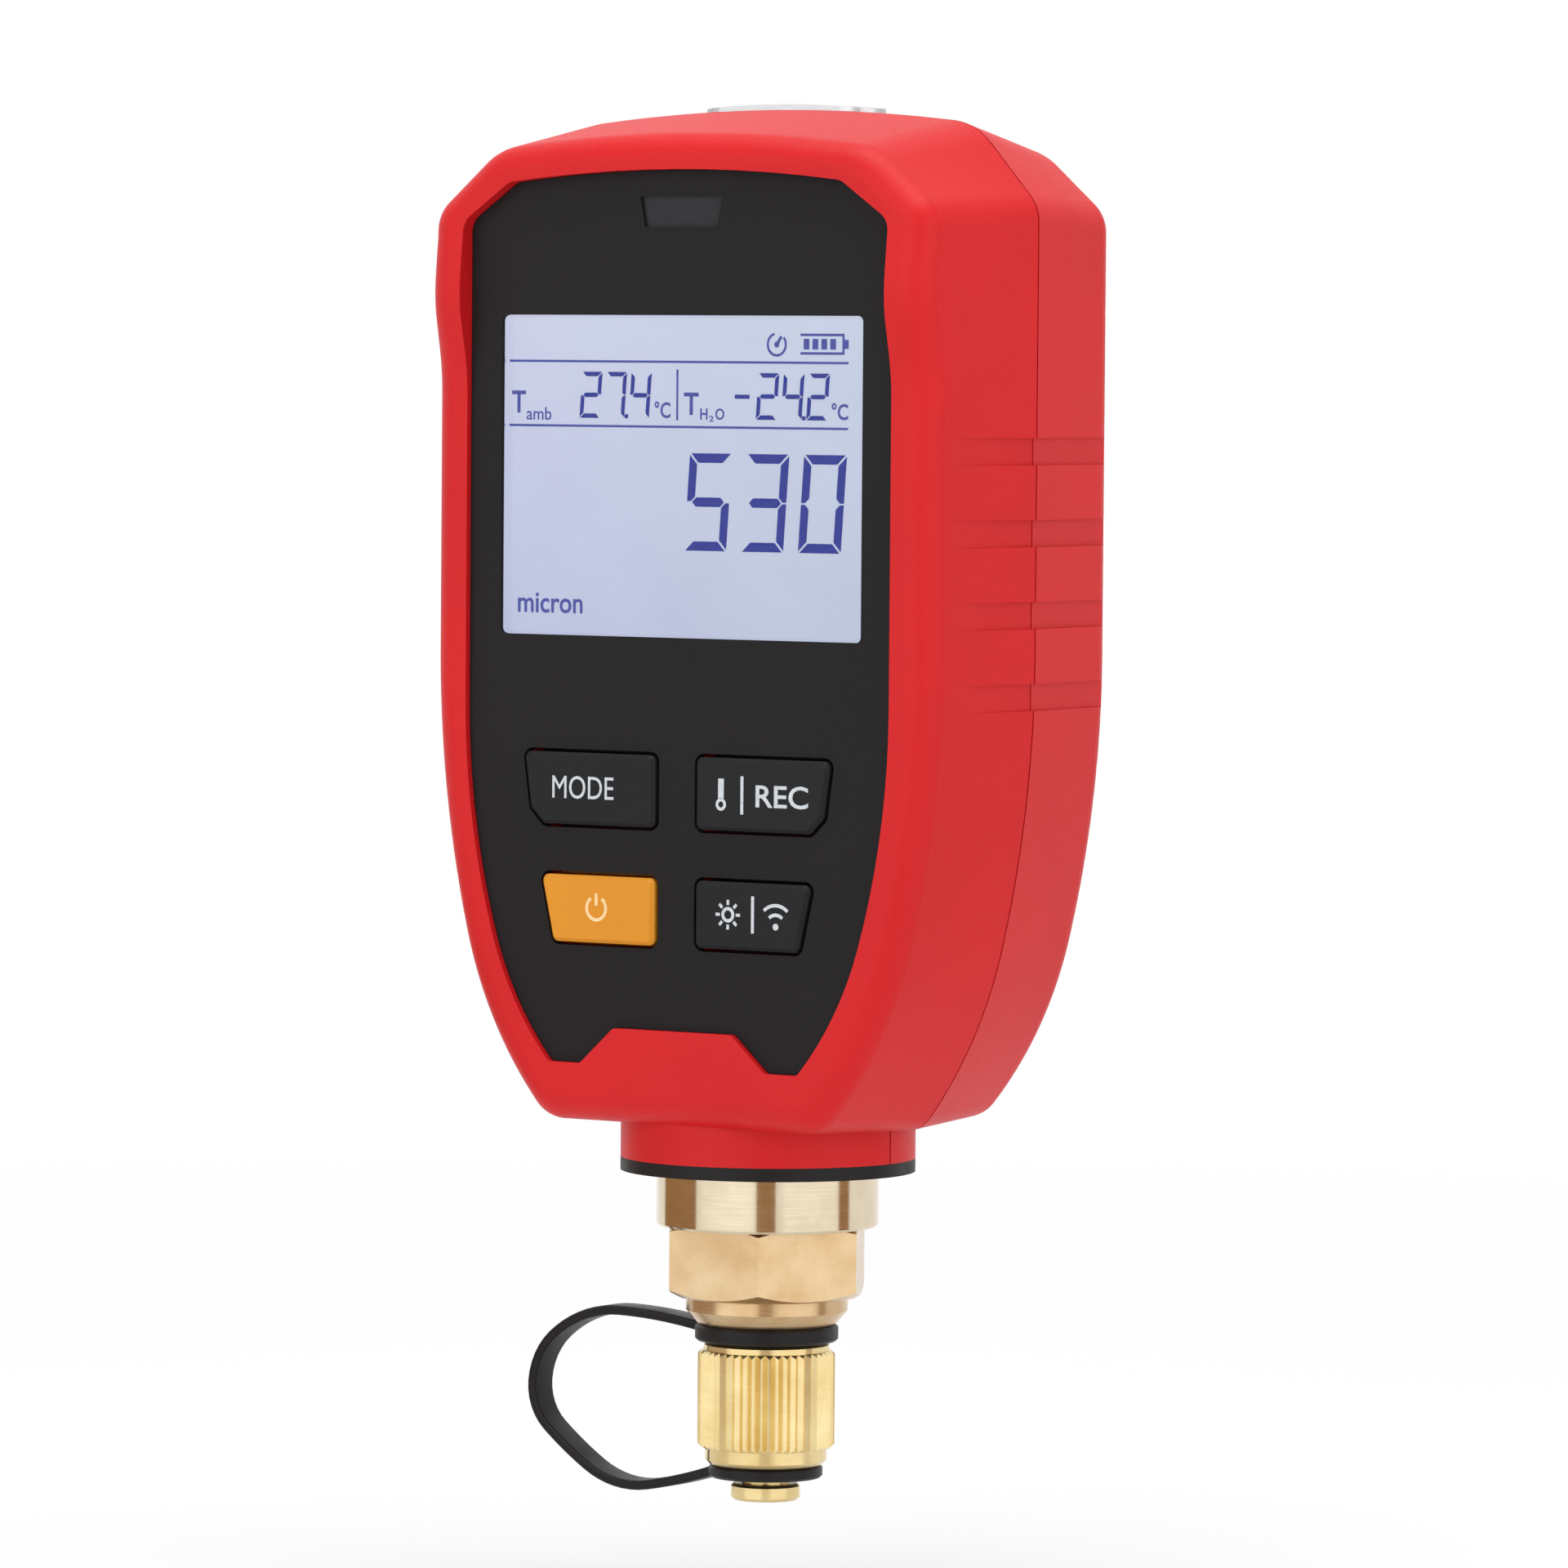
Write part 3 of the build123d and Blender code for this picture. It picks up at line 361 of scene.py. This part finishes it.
def ink(name, colour):
    """A mark of the display, which the backlight shows through; its glow is also painted light in place of
    the lamplight that the window keeps off it.
    """
    finish = Finish(name, rgb(8, 10, 20), 0.5, specular=0.05)
    darker = tuple(0.85 * part for part in colour[:3]) + (1.0,)
    tone = finish.blend_colours(finish.noise(0.0008), darker, colour)
    # Painted light: the mark's colour comes from its glow, not from lamplight falling on it.
    finish.link(tone, finish.shader.inputs["Emission Color"])
    finish.set("Emission Strength", 0.95)
    return finish.material


def printed(name, colour):
    """A printed legend: matt, a little uneven where the pad left less of it."""
    finish = Finish(name, colour, 0.55, specular=0.2)
    thinner = tuple(0.86 * part for part in colour[:3]) + (1.0,)
    finish.vary_colour(finish.noise(0.0004, detail=3.0), thinner, colour)
    return finish.material


def make_finishes():
    """One material for each of the record's slots."""
    return {
        "red_plastic": moulded("red_plastic", rgb(205, 24, 28), 0.45, 0.22, relief=0.00002),
        "panel_black": moulded("panel_black", rgb(34, 32, 33), 0.5, 0.08),
        "clear_window": clear_window(),
        "smoked_lens": moulded("smoked_lens", rgb(44, 43, 46), 0.3, 0.12, relief=0.000002),
        "grey_silicone": soft_rubber("grey_silicone", rgb(150, 152, 154)),
        "display_glass": lit_display(),
        "backlight_white": moulded("backlight_white", rgb(238, 240, 242), 0.25, relief=0.000002),
        "black_plastic": moulded("black_plastic", rgb(30, 30, 31), 0.5, 0.25),
        "board_green": moulded("board_green", rgb(24, 88, 52), 0.35, 0.5, relief=0.000004),
        "lamp_lens": moulded("lamp_lens", rgb(226, 228, 220), 0.15, relief=0.000001),
        "bright_steel": brushed_metal("bright_steel", rgb(205, 207, 209), rgb(182, 184, 187), 0.28),
        "chip_black": moulded("chip_black", rgb(28, 28, 29), 0.55, 0.25),
        "cell_wrap": moulded("cell_wrap", rgb(66, 70, 74), 0.22, relief=0.000002),
        "black_rubber": soft_rubber("black_rubber", rgb(18, 16, 16), 0.48),
        "turned_brass": turned_metal("turned_brass", rgb(227, 213, 187), rgb(213, 197, 168), 0.13),
        "fitting_brass": turned_metal("fitting_brass", rgb(213, 187, 148), rgb(196, 163, 120), 0.24),
        "sintered_bronze": moulded("sintered_bronze", rgb(150, 118, 74), 0.7, relief=0.00006),
        "lead_film": moulded("lead_film", rgb(206, 140, 58), 0.25, relief=0.000002),
        "magnet_steel": brushed_metal("magnet_steel", rgb(196, 199, 200), rgb(172, 176, 178), 0.3),
        "magnet_core": moulded("magnet_core", rgb(74, 74, 78), 0.6, relief=0.00002),
        "black_key": moulded("black_key", rgb(32, 32, 34), 0.45, 0.12),
        "orange_key": moulded("orange_key", rgb(219, 143, 38), 0.42, 0.2),
        "strap_black": soft_rubber("strap_black", rgb(18, 15, 16), 0.42),
        "cap_brass": turned_metal("cap_brass", rgb(232, 212, 160), rgb(218, 192, 134), 0.2),
    }


def dress_nodes(finishes):
    for subpart in frame["record"]["subparts"]:
        for slot in frame["nodes"][subpart["node"]].material_slots:
            slot.material = finishes[subpart["material_slot"]]


# Thin marks
class Marks:
    """Thin shapes raised from a flat face that looks to -Y, gathered into one piece.

    Places are (x, z) in millimetres."""

    def __init__(self, face_y, thickness, shift=0.0):
        self.shapes = bmesh.new()
        self.back = face_y
        self.thickness = thickness * MM
        self.shift = shift

    def outline(self, points):
        """A flat shape with these points round its edge."""
        front = []
        back = []
        for x, z in points:
            front.append(self.shapes.verts.new(((x + self.shift) * MM, self.back - self.thickness, z * MM)))
            back.append(self.shapes.verts.new(((x + self.shift) * MM, self.back, z * MM)))
        self.shapes.faces.new(front)
        self.shapes.faces.new(back[::-1])
        for index in range(len(points)):
            after = (index + 1) % len(points)
            self.shapes.faces.new((front[after], front[index], back[index], back[after]))

    def box(self, x_low, x_high, z_low, z_high):
        self.outline([(x_low, z_low), (x_high, z_low), (x_high, z_high), (x_low, z_high)])

    def arc(self, centre, outer, inner, start, end, steps=20):
        """Part of a ring between two angles in degrees."""
        rim = []
        for radius, order in ((outer, range(steps + 1)), (inner, range(steps, -1, -1))):
            for step in order:
                angle = math.radians(start + (end - start) * step / steps)
                rim.append((centre[0] + radius * math.cos(angle), centre[1] + radius * math.sin(angle)))
        self.outline(rim)

    def ring(self, centre, outer, inner, steps=40):
        """A whole ring."""
        front = self.back - self.thickness
        loops = []
        for radius, y in ((outer, front), (inner, front), (inner, self.back), (outer, self.back)):
            loop = []
            for step in range(steps):
                angle = math.tau * step / steps
                x = centre[0] + self.shift + radius * math.cos(angle)
                z = centre[1] + radius * math.sin(angle)
                loop.append(self.shapes.verts.new((x * MM, y, z * MM)))
            loops.append(loop)
        for first, second in zip(loops, loops[1:] + loops[:1]):
            for index in range(steps):
                after = (index + 1) % steps
                self.shapes.faces.new((first[index], first[after], second[after], second[index]))

    def disc(self, centre, radius, steps=20):
        angles = [math.tau * step / steps for step in range(steps)]
        self.outline([(centre[0] + radius * math.cos(a), centre[1] + radius * math.sin(a)) for a in angles])

    def ray(self, centre, angle, start, end, width):
        """A bar that points outward from a centre, at an angle in degrees."""
        along = Vector((math.cos(math.radians(angle)), math.sin(math.radians(angle))))
        side = Vector((-along.y, along.x)) * width / 2
        foot = Vector(centre) + along * start
        tip = Vector(centre) + along * end
        self.outline([tuple(foot - side), tuple(tip - side), tuple(tip + side), tuple(foot + side)])

    def words(self, text, box, weight=0.0):
        """Lettering that fills a box of (x low, x high, z low, z high).

        The font's faces and sides share no corners, so they are joined."""
        half_depth = 0.5
        curve = bpy.data.curves.new("words", "FONT")
        curve.body = text
        curve.offset = weight
        curve.extrude = half_depth
        curve.resolution_u = 4
        holder = bpy.data.objects.new("words", curve)
        bpy.context.scene.collection.objects.link(holder)
        bpy.context.view_layer.update()
        mesh = bpy.data.meshes.new_from_object(holder.evaluated_get(bpy.context.evaluated_depsgraph_get()))
        low_x, high_x = min(v.co.x for v in mesh.vertices), max(v.co.x for v in mesh.vertices)
        low_y, high_y = min(v.co.y for v in mesh.vertices), max(v.co.y for v in mesh.vertices)
        wide = (box[1] - box[0]) / (high_x - low_x)
        tall = (box[3] - box[2]) / (high_y - low_y)
        for vertex in mesh.vertices:
            x = box[0] + self.shift + (vertex.co.x - low_x) * wide
            z = box[2] + (vertex.co.y - low_y) * tall
            vertex.co = (x * MM, self.back - (vertex.co.z + half_depth) * self.thickness, z * MM)
        letters = bmesh.new()
        letters.from_mesh(mesh)
        bmesh.ops.remove_doubles(letters, verts=letters.verts, dist=letter_weld * MM)
        letters.to_mesh(mesh)
        letters.free()
        self.shapes.from_mesh(mesh)
        bpy.data.objects.remove(holder)
        bpy.data.meshes.remove(mesh)
        bpy.data.curves.remove(curve)

    def piece(self, name, material, body):
        bmesh.ops.recalc_face_normals(self.shapes, faces=self.shapes.faces)
        mesh = bpy.data.meshes.new(name)
        self.shapes.to_mesh(mesh)
        self.shapes.free()
        mesh.materials.append(material)
        made = bpy.data.objects.new(name, mesh)
        bpy.context.scene.collection.objects.link(made)
        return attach(made, body)


# Seven-segment digits
lit_strokes = {"0": "abcdef", "2": "abged", "3": "abgcd", "4": "fgbc", "5": "afgcd", "7": "abc"}


def digit_strokes(style):
    """The seven strokes of an upright digit, by their usual letters, with mitred ends."""
    width, height, stroke = style["width"], style["height"], style["stroke"]
    gap = stroke_gap * stroke
    middle = height / 2
    top = [(gap, height), (width - gap, height), (width - gap - stroke, height - stroke),
           (gap + stroke, height - stroke)]
    right = [(width, height - gap), (width, middle + gap / 2), (width - stroke / 2, middle + gap / 2),
             (width - stroke, middle + stroke / 2 + gap / 2), (width - stroke, height - gap - stroke)]
    centre = [(stroke / 2 + gap, middle), (stroke + gap, middle + stroke / 2),
              (width - stroke - gap, middle + stroke / 2), (width - stroke / 2 - gap, middle),
              (width - stroke - gap, middle - stroke / 2), (stroke + gap, middle - stroke / 2)]

    def flip_z(points):
        return [(x, height - z) for x, z in points]

    def flip_x(points):
        return [(width - x, z) for x, z in points]

    return {
        "a": top, "b": right, "c": flip_z(right), "d": flip_z(top),
        "e": flip_z(flip_x(right)), "f": flip_x(right), "g": centre,
    }


def draw_number(marks, text, x, z, style):
    strokes = digit_strokes(style)
    lean = style["shear"] / style["height"]
    for character in text:
        if character == ".":
            dot_x = x - (style["pitch"] - style["width"]) / 2 - dot_size / 2
            marks.box(dot_x, dot_x + dot_size, z, z + dot_size)
            continue
        for letter in lit_strokes[character]:
            marks.outline([(x + px + lean * pz, z + pz) for px, pz in strokes[letter]])
        x += style["pitch"]


# Display
def make_display():
    panel_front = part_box("front_panel")[0].y
    window_front, window_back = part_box("display_window")[0].y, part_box("display_window")[1].y
    glass_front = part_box("display_glass")[0].y
    air = (window_front - panel_front) + (glass_front - window_back)
    shift = -(air_slope * air + glass_slope * (window_back - window_front)) / MM

    digits = Marks(glass_front, ink_thickness, shift)
    draw_number(digits, "530", pressure_x, large_digit_z, large_digit)
    draw_number(digits, "27.4", ambient_x, small_digit_z, small_digit)
    draw_number(digits, "24.2", dew_x, small_digit_z, small_digit)
    digits.box(*minus_box)
    digits.piece("display_digits", ink("ink", rgb(26, 42, 146)), "housing")

    marks = Marks(glass_front, ink_thickness, shift)
    for z in (upper_line_z, lower_line_z):
        marks.box(*line_ends, z - line_height / 2, z + line_height / 2)
    marks.box(divider[0] - line_height / 2, divider[0] + line_height / 2, divider[1], divider[2])
    draw_battery(marks)
    draw_timer(marks)
    for text, box, weight in display_words:
        marks.words(text, box, weight)
    marks.piece("display_marks", ink("pale_ink", rgb(66, 76, 162)), "housing")


def draw_battery(marks):
    x_low, x_high, z_low, z_high = battery_box
    marks.box(x_low, x_high, z_high - thin_ink, z_high)
    marks.box(x_low, x_high, z_low, z_low + thin_ink)
    marks.box(x_high - thin_ink, x_high, z_low + thin_ink, z_high - thin_ink)
    marks.box(*battery_nub)
    inner = x_high - x_low - 4 * thin_ink
    pitch = inner / battery_bars
    for index in range(battery_bars):
        start = x_low + 1.5 * thin_ink + index * pitch
        marks.box(start, start + battery_bar_share * pitch, z_low + 2 * thin_ink, z_high - 2 * thin_ink)


def draw_timer(marks):
    marks.arc(timer_centre, timer_radius, timer_radius - thin_ink, *timer_arc)
    marks.ray(timer_centre, timer_hand, 0, 0.8 * timer_radius, 1.3 * thin_ink)
    marks.disc(timer_centre, 1.2 * thin_ink)


# Key legends
def face_of(node):
    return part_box(node)[0].y


def make_legends():
    pale = printed("legend_grey", rgb(206, 211, 216))
    cream = printed("legend_cream", rgb(250, 214, 160))

    mode = Marks(face_of("mode_key"), legend_thickness)
    mode.words("MODE", mode_box)
    mode.piece("mode_legend", pale, "mode_key")

    record = Marks(face_of("record_key"), legend_thickness)
    x, low, high = thermometer
    record.ring((x, low + bulb_radius), bulb_radius, bulb_radius / 2)
    record.box(x - bar_width, x + bar_width, low + 1.9 * bulb_radius, high)
    record.box(record_bar[0] - bar_width / 2, record_bar[0] + bar_width / 2, record_bar[1], record_bar[2])
    record.words("REC", record_box, record_weight)
    record.piece("record_legend", pale, "record_key")

    power = Marks(face_of("power_key"), legend_thickness)
    power.arc(power_centre, power_radius, power_radius - bar_width, *power_arc)
    power.ray(power_centre, 90, 0.2 * power_radius, 1.1 * power_radius, bar_width)
    power.piece("power_legend", cream, "power_key")

    light = Marks(face_of("light_key"), legend_thickness)
    light.ring(sun_centre, sun_radius, sun_radius - bar_width)
    for index in range(sun_rays):
        light.ray(sun_centre, index * 360 / sun_rays, 1.25 * sun_radius, 1.9 * sun_radius, 0.9 * bar_width)
    light.box(light_bar[0] - bar_width / 2, light_bar[0] + bar_width / 2, light_bar[1], light_bar[2])
    light.disc(wave_foot, bar_width)
    for radius in wave_radii:
        light.arc(wave_foot, radius, radius - bar_width, *wave_arc)
    light.piece("light_legend", pale, "light_key")


# Strap
def strap_stations():
    """Points and headings along the strap's arcs, each tangent to the one before."""
    heading = Vector(strap_heading).normalized()
    stations = []
    for start, end in zip(strap_route, strap_route[1:]):
        start, end = Vector(start), Vector(end)
        chord = end - start
        turn = -heading.angle_signed(chord)
        left = Vector((-heading.y, heading.x))
        radius = chord.length / (2 * math.sin(turn))
        centre = start + left * radius
        steps = max(6, round(chord.length))
        for step in range(steps):
            swing = Matrix.Rotation(2 * turn * step / steps, 2)
            stations.append((centre + swing @ (start - centre), swing @ heading))
        heading = Matrix.Rotation(2 * turn, 2) @ heading
    stations.append((Vector(strap_route[-1]), heading))
    return stations


def band_section():
    """The strap's rounded section, as (across the band, through its thickness)."""
    half_width = strap_width / 2 - strap_corner
    half_thickness = strap_thickness / 2 - strap_corner
    points = []
    for start, x_sign, y_sign in ((0, 1, 1), (90, -1, 1), (180, -1, -1), (270, 1, -1)):
        for step in range(strap_corner_steps + 1):
            angle = math.radians(start + 90 * step / strap_corner_steps)
            points.append((x_sign * half_width + strap_corner * math.cos(angle),
                           y_sign * half_thickness + strap_corner * math.sin(angle)))
    return points


def add_band(mesh):
    section = band_section()
    rings = []
    for point, heading in strap_stations():
        normal = Vector((-heading.y, heading.x))
        ring = []
        for across, through in section:
            place = point + normal * through
            ring.append(mesh.verts.new((place.x * MM, across * MM, place.y * MM)))
        rings.append(ring)
    count = len(section)
    for first, second in zip(rings, rings[1:]):
        for index in range(count):
            after = (index + 1) % count
            mesh.faces.new((first[index], first[after], second[after], second[index]))
    mesh.faces.new(rings[0][::-1])
    mesh.faces.new(rings[-1])


def add_ring(mesh, ring):
    """A flat ring about the port axis with bevelled rims."""
    low, high = ring["low"], ring["high"]
    inner, outer = ring["inner"], ring["outer"]
    profile = [
        (inner, low + ring_edge), (inner + ring_edge, low),
        (outer - ring_edge, low), (outer, low + ring_edge),
        (outer, high - ring_edge), (outer - ring_edge, high),
        (inner + ring_edge, high), (inner, high - ring_edge),
    ]
    columns = []
    for step in range(ring_steps):
        angle = math.tau * step / ring_steps
        columns.append([mesh.verts.new((r * math.cos(angle) * MM, r * math.sin(angle) * MM, z * MM))
                        for r, z in profile])
    for step in range(ring_steps):
        here, there = columns[step], columns[(step + 1) % ring_steps]
        for index in range(len(profile)):
            after = (index + 1) % len(profile)
            mesh.faces.new((here[index], there[index], there[after], here[after]))


def make_strap(finishes):
    shape = bmesh.new()
    add_band(shape)
    add_ring(shape, upper_ring)
    add_ring(shape, lower_ring)
    bmesh.ops.recalc_face_normals(shape, faces=shape.faces)
    mesh = bpy.data.meshes.new("strap")
    shape.to_mesh(mesh)
    shape.free()
    mesh.materials.append(finishes["strap_black"])
    mesh.shade_smooth()
    strap = bpy.data.objects.new("strap", mesh)
    bpy.context.scene.collection.objects.link(strap)
    mesh.set_sharp_from_angle(angle=math.radians(strap_crease))
    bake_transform(strap)
    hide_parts("cap_tether")


# Studio
def background_rays(tree):
    """1 where the camera, a reflection or clear plastic looks straight at the background."""
    path = tree.nodes.new("ShaderNodeLightPath")
    seen = path.outputs["Is Camera Ray"]
    for name in ("Is Glossy Ray", "Is Transmission Ray"):
        either = tree.nodes.new("ShaderNodeMath")
        either.operation = "MAXIMUM"
        tree.links.new(seen, either.inputs[0])
        tree.links.new(path.outputs[name], either.inputs[1])
        seen = either.outputs["Value"]
    return seen


def make_world():
    world = bpy.data.worlds.new("studio")
    bpy.context.scene.world = world
    world.use_nodes = True
    tree = world.node_tree
    tree.nodes.clear()
    ambient = tree.nodes.new("ShaderNodeBackground")
    ambient.inputs["Strength"].default_value = ambient_level
    white = tree.nodes.new("ShaderNodeBackground")
    white.inputs["Color"].default_value = (1.0, 1.0, 1.0, 1.0)
    ambient.inputs["Color"].default_value = (1.0, 1.0, 1.0, 1.0)
    mix = tree.nodes.new("ShaderNodeMixShader")
    tree.links.new(background_rays(tree), mix.inputs["Fac"])
    tree.links.new(ambient.outputs["Background"], mix.inputs[1])
    tree.links.new(white.outputs["Background"], mix.inputs[2])
    output = tree.nodes.new("ShaderNodeOutputWorld")
    tree.links.new(mix.outputs["Shader"], output.inputs["Surface"])


def floor_material():
    """A pale floor that keeps the shadow and meets the white background without an edge."""
    material = bpy.data.materials.new("pale_floor")
    material.use_nodes = True
    tree = material.node_tree
    matt = tree.nodes["Principled BSDF"]
    matt.inputs["Base Color"].default_value = (floor_grey, floor_grey, floor_grey, 1.0)
    matt.inputs["Roughness"].default_value = 0.9
    glow = tree.nodes.new("ShaderNodeEmission")
    place = tree.nodes.new("ShaderNodeTexCoord")
    reach = tree.nodes.new("ShaderNodeVectorMath")
    reach.operation = "LENGTH"
    tree.links.new(place.outputs["Object"], reach.inputs[0])
    fade = tree.nodes.new("ShaderNodeMapRange")
    fade.interpolation_type = "SMOOTHSTEP"
    fade.inputs["From Min"].default_value, fade.inputs["From Max"].default_value = floor_fade
    fade.inputs["To Min"].default_value, fade.inputs["To Max"].default_value = floor_share
    tree.links.new(reach.outputs["Value"], fade.inputs["Value"])
    share = tree.nodes.new("ShaderNodeMath")
    share.operation = "MULTIPLY"
    tree.links.new(background_rays(tree), share.inputs[0])
    tree.links.new(fade.outputs["Result"], share.inputs[1])
    mix = tree.nodes.new("ShaderNodeMixShader")
    tree.links.new(share.outputs["Value"], mix.inputs["Fac"])
    tree.links.new(matt.outputs["BSDF"], mix.inputs[1])
    tree.links.new(glow.outputs["Emission"], mix.inputs[2])
    output = tree.nodes["Material Output"]
    tree.links.new(mix.outputs["Shader"], output.inputs["Surface"])
    return material


def cap_travel():
    """How far down the unscrewed cap comes, in metres."""
    for joint in frame["record"]["behaviour"]["joints"]:
        if joint["name"] == "cap_lift":
            return joint["range_m"][1]


def make_floor():
    """The floor lies where the cap clears it when it is unscrewed and lowered."""
    shape = bmesh.new()
    bmesh.ops.create_circle(shape, cap_ends=True, radius=floor_radius, segments=floor_steps)
    mesh = bpy.data.meshes.new("floor")
    shape.to_mesh(mesh)
    shape.free()
    mesh.materials.append(floor_material())
    floor = bpy.data.objects.new("floor", mesh)
    floor.location.z = cad_low.z - cap_travel()
    bpy.context.scene.collection.objects.link(floor)


def toward(azimuth, elevation):
    """The direction at an azimuth round from the camera and an elevation, in degrees."""
    around = math.radians(camera_azimuth + azimuth)
    above = math.radians(elevation)
    return Vector((math.sin(around) * math.cos(above), -math.cos(around) * math.cos(above), math.sin(above)))


def softbox(name, box):
    area = box["width"] * box["height"]
    data = bpy.data.lights.new(name, "AREA")
    data.shape = "RECTANGLE"
    data.size = box["width"]
    data.size_y = box["height"]
    data.energy = box["level"] * math.pi * area
    lamp = bpy.data.objects.new(name, data)
    bpy.context.scene.collection.objects.link(lamp)
    direction = toward(box["azimuth"], box["elevation"])
    centre = (cad_low + cad_high) / 2
    lamp.location = centre + direction * box["distance"]
    lamp.rotation_mode = "QUATERNION"
    lamp.rotation_quaternion = (-direction).to_track_quat("-Z", "Y")


def make_cards():
    """Low warm cards that only reflections see, which give the bright metal its dark bands."""
    finish = Finish("dark_card", rgb(0, 0, 0), 1.0, specular=0.0)
    finish.set("Emission Color", rgb(*card_colour))
    finish.set("Emission Strength", 1.0)
    shape = bmesh.new()
    for start, end in card_spans:
        steps = max(2, round((end - start) / card_step))
        columns = []
        for step in range(steps + 1):
            place = toward(start + (end - start) * step / steps, 0) * card_distance
            columns.append([shape.verts.new((place.x, place.y, z)) for z in (cad_low.z, card_top)])
        for here, there in zip(columns, columns[1:]):
            shape.faces.new((here[0], there[0], there[1], here[1]))
    mesh = bpy.data.meshes.new("dark_cards")
    shape.to_mesh(mesh)
    shape.free()
    mesh.materials.append(finish.material)
    cards = bpy.data.objects.new("dark_cards", mesh)
    bpy.context.scene.collection.objects.link(cards)
    cards.visible_camera = False
    cards.visible_diffuse = False
    cards.visible_shadow = False
    cards.visible_transmission = False


make_camera()
finishes = make_finishes()
dress_nodes(finishes)
make_display()
make_legends()
make_strap(finishes)
make_world()
make_floor()
make_cards()
for name, box in (("left_softbox", left_box), ("right_softbox", right_box), ("top_softbox", top_box)):
    softbox(name, box)
bpy.context.scene.view_settings.view_transform = "Standard"
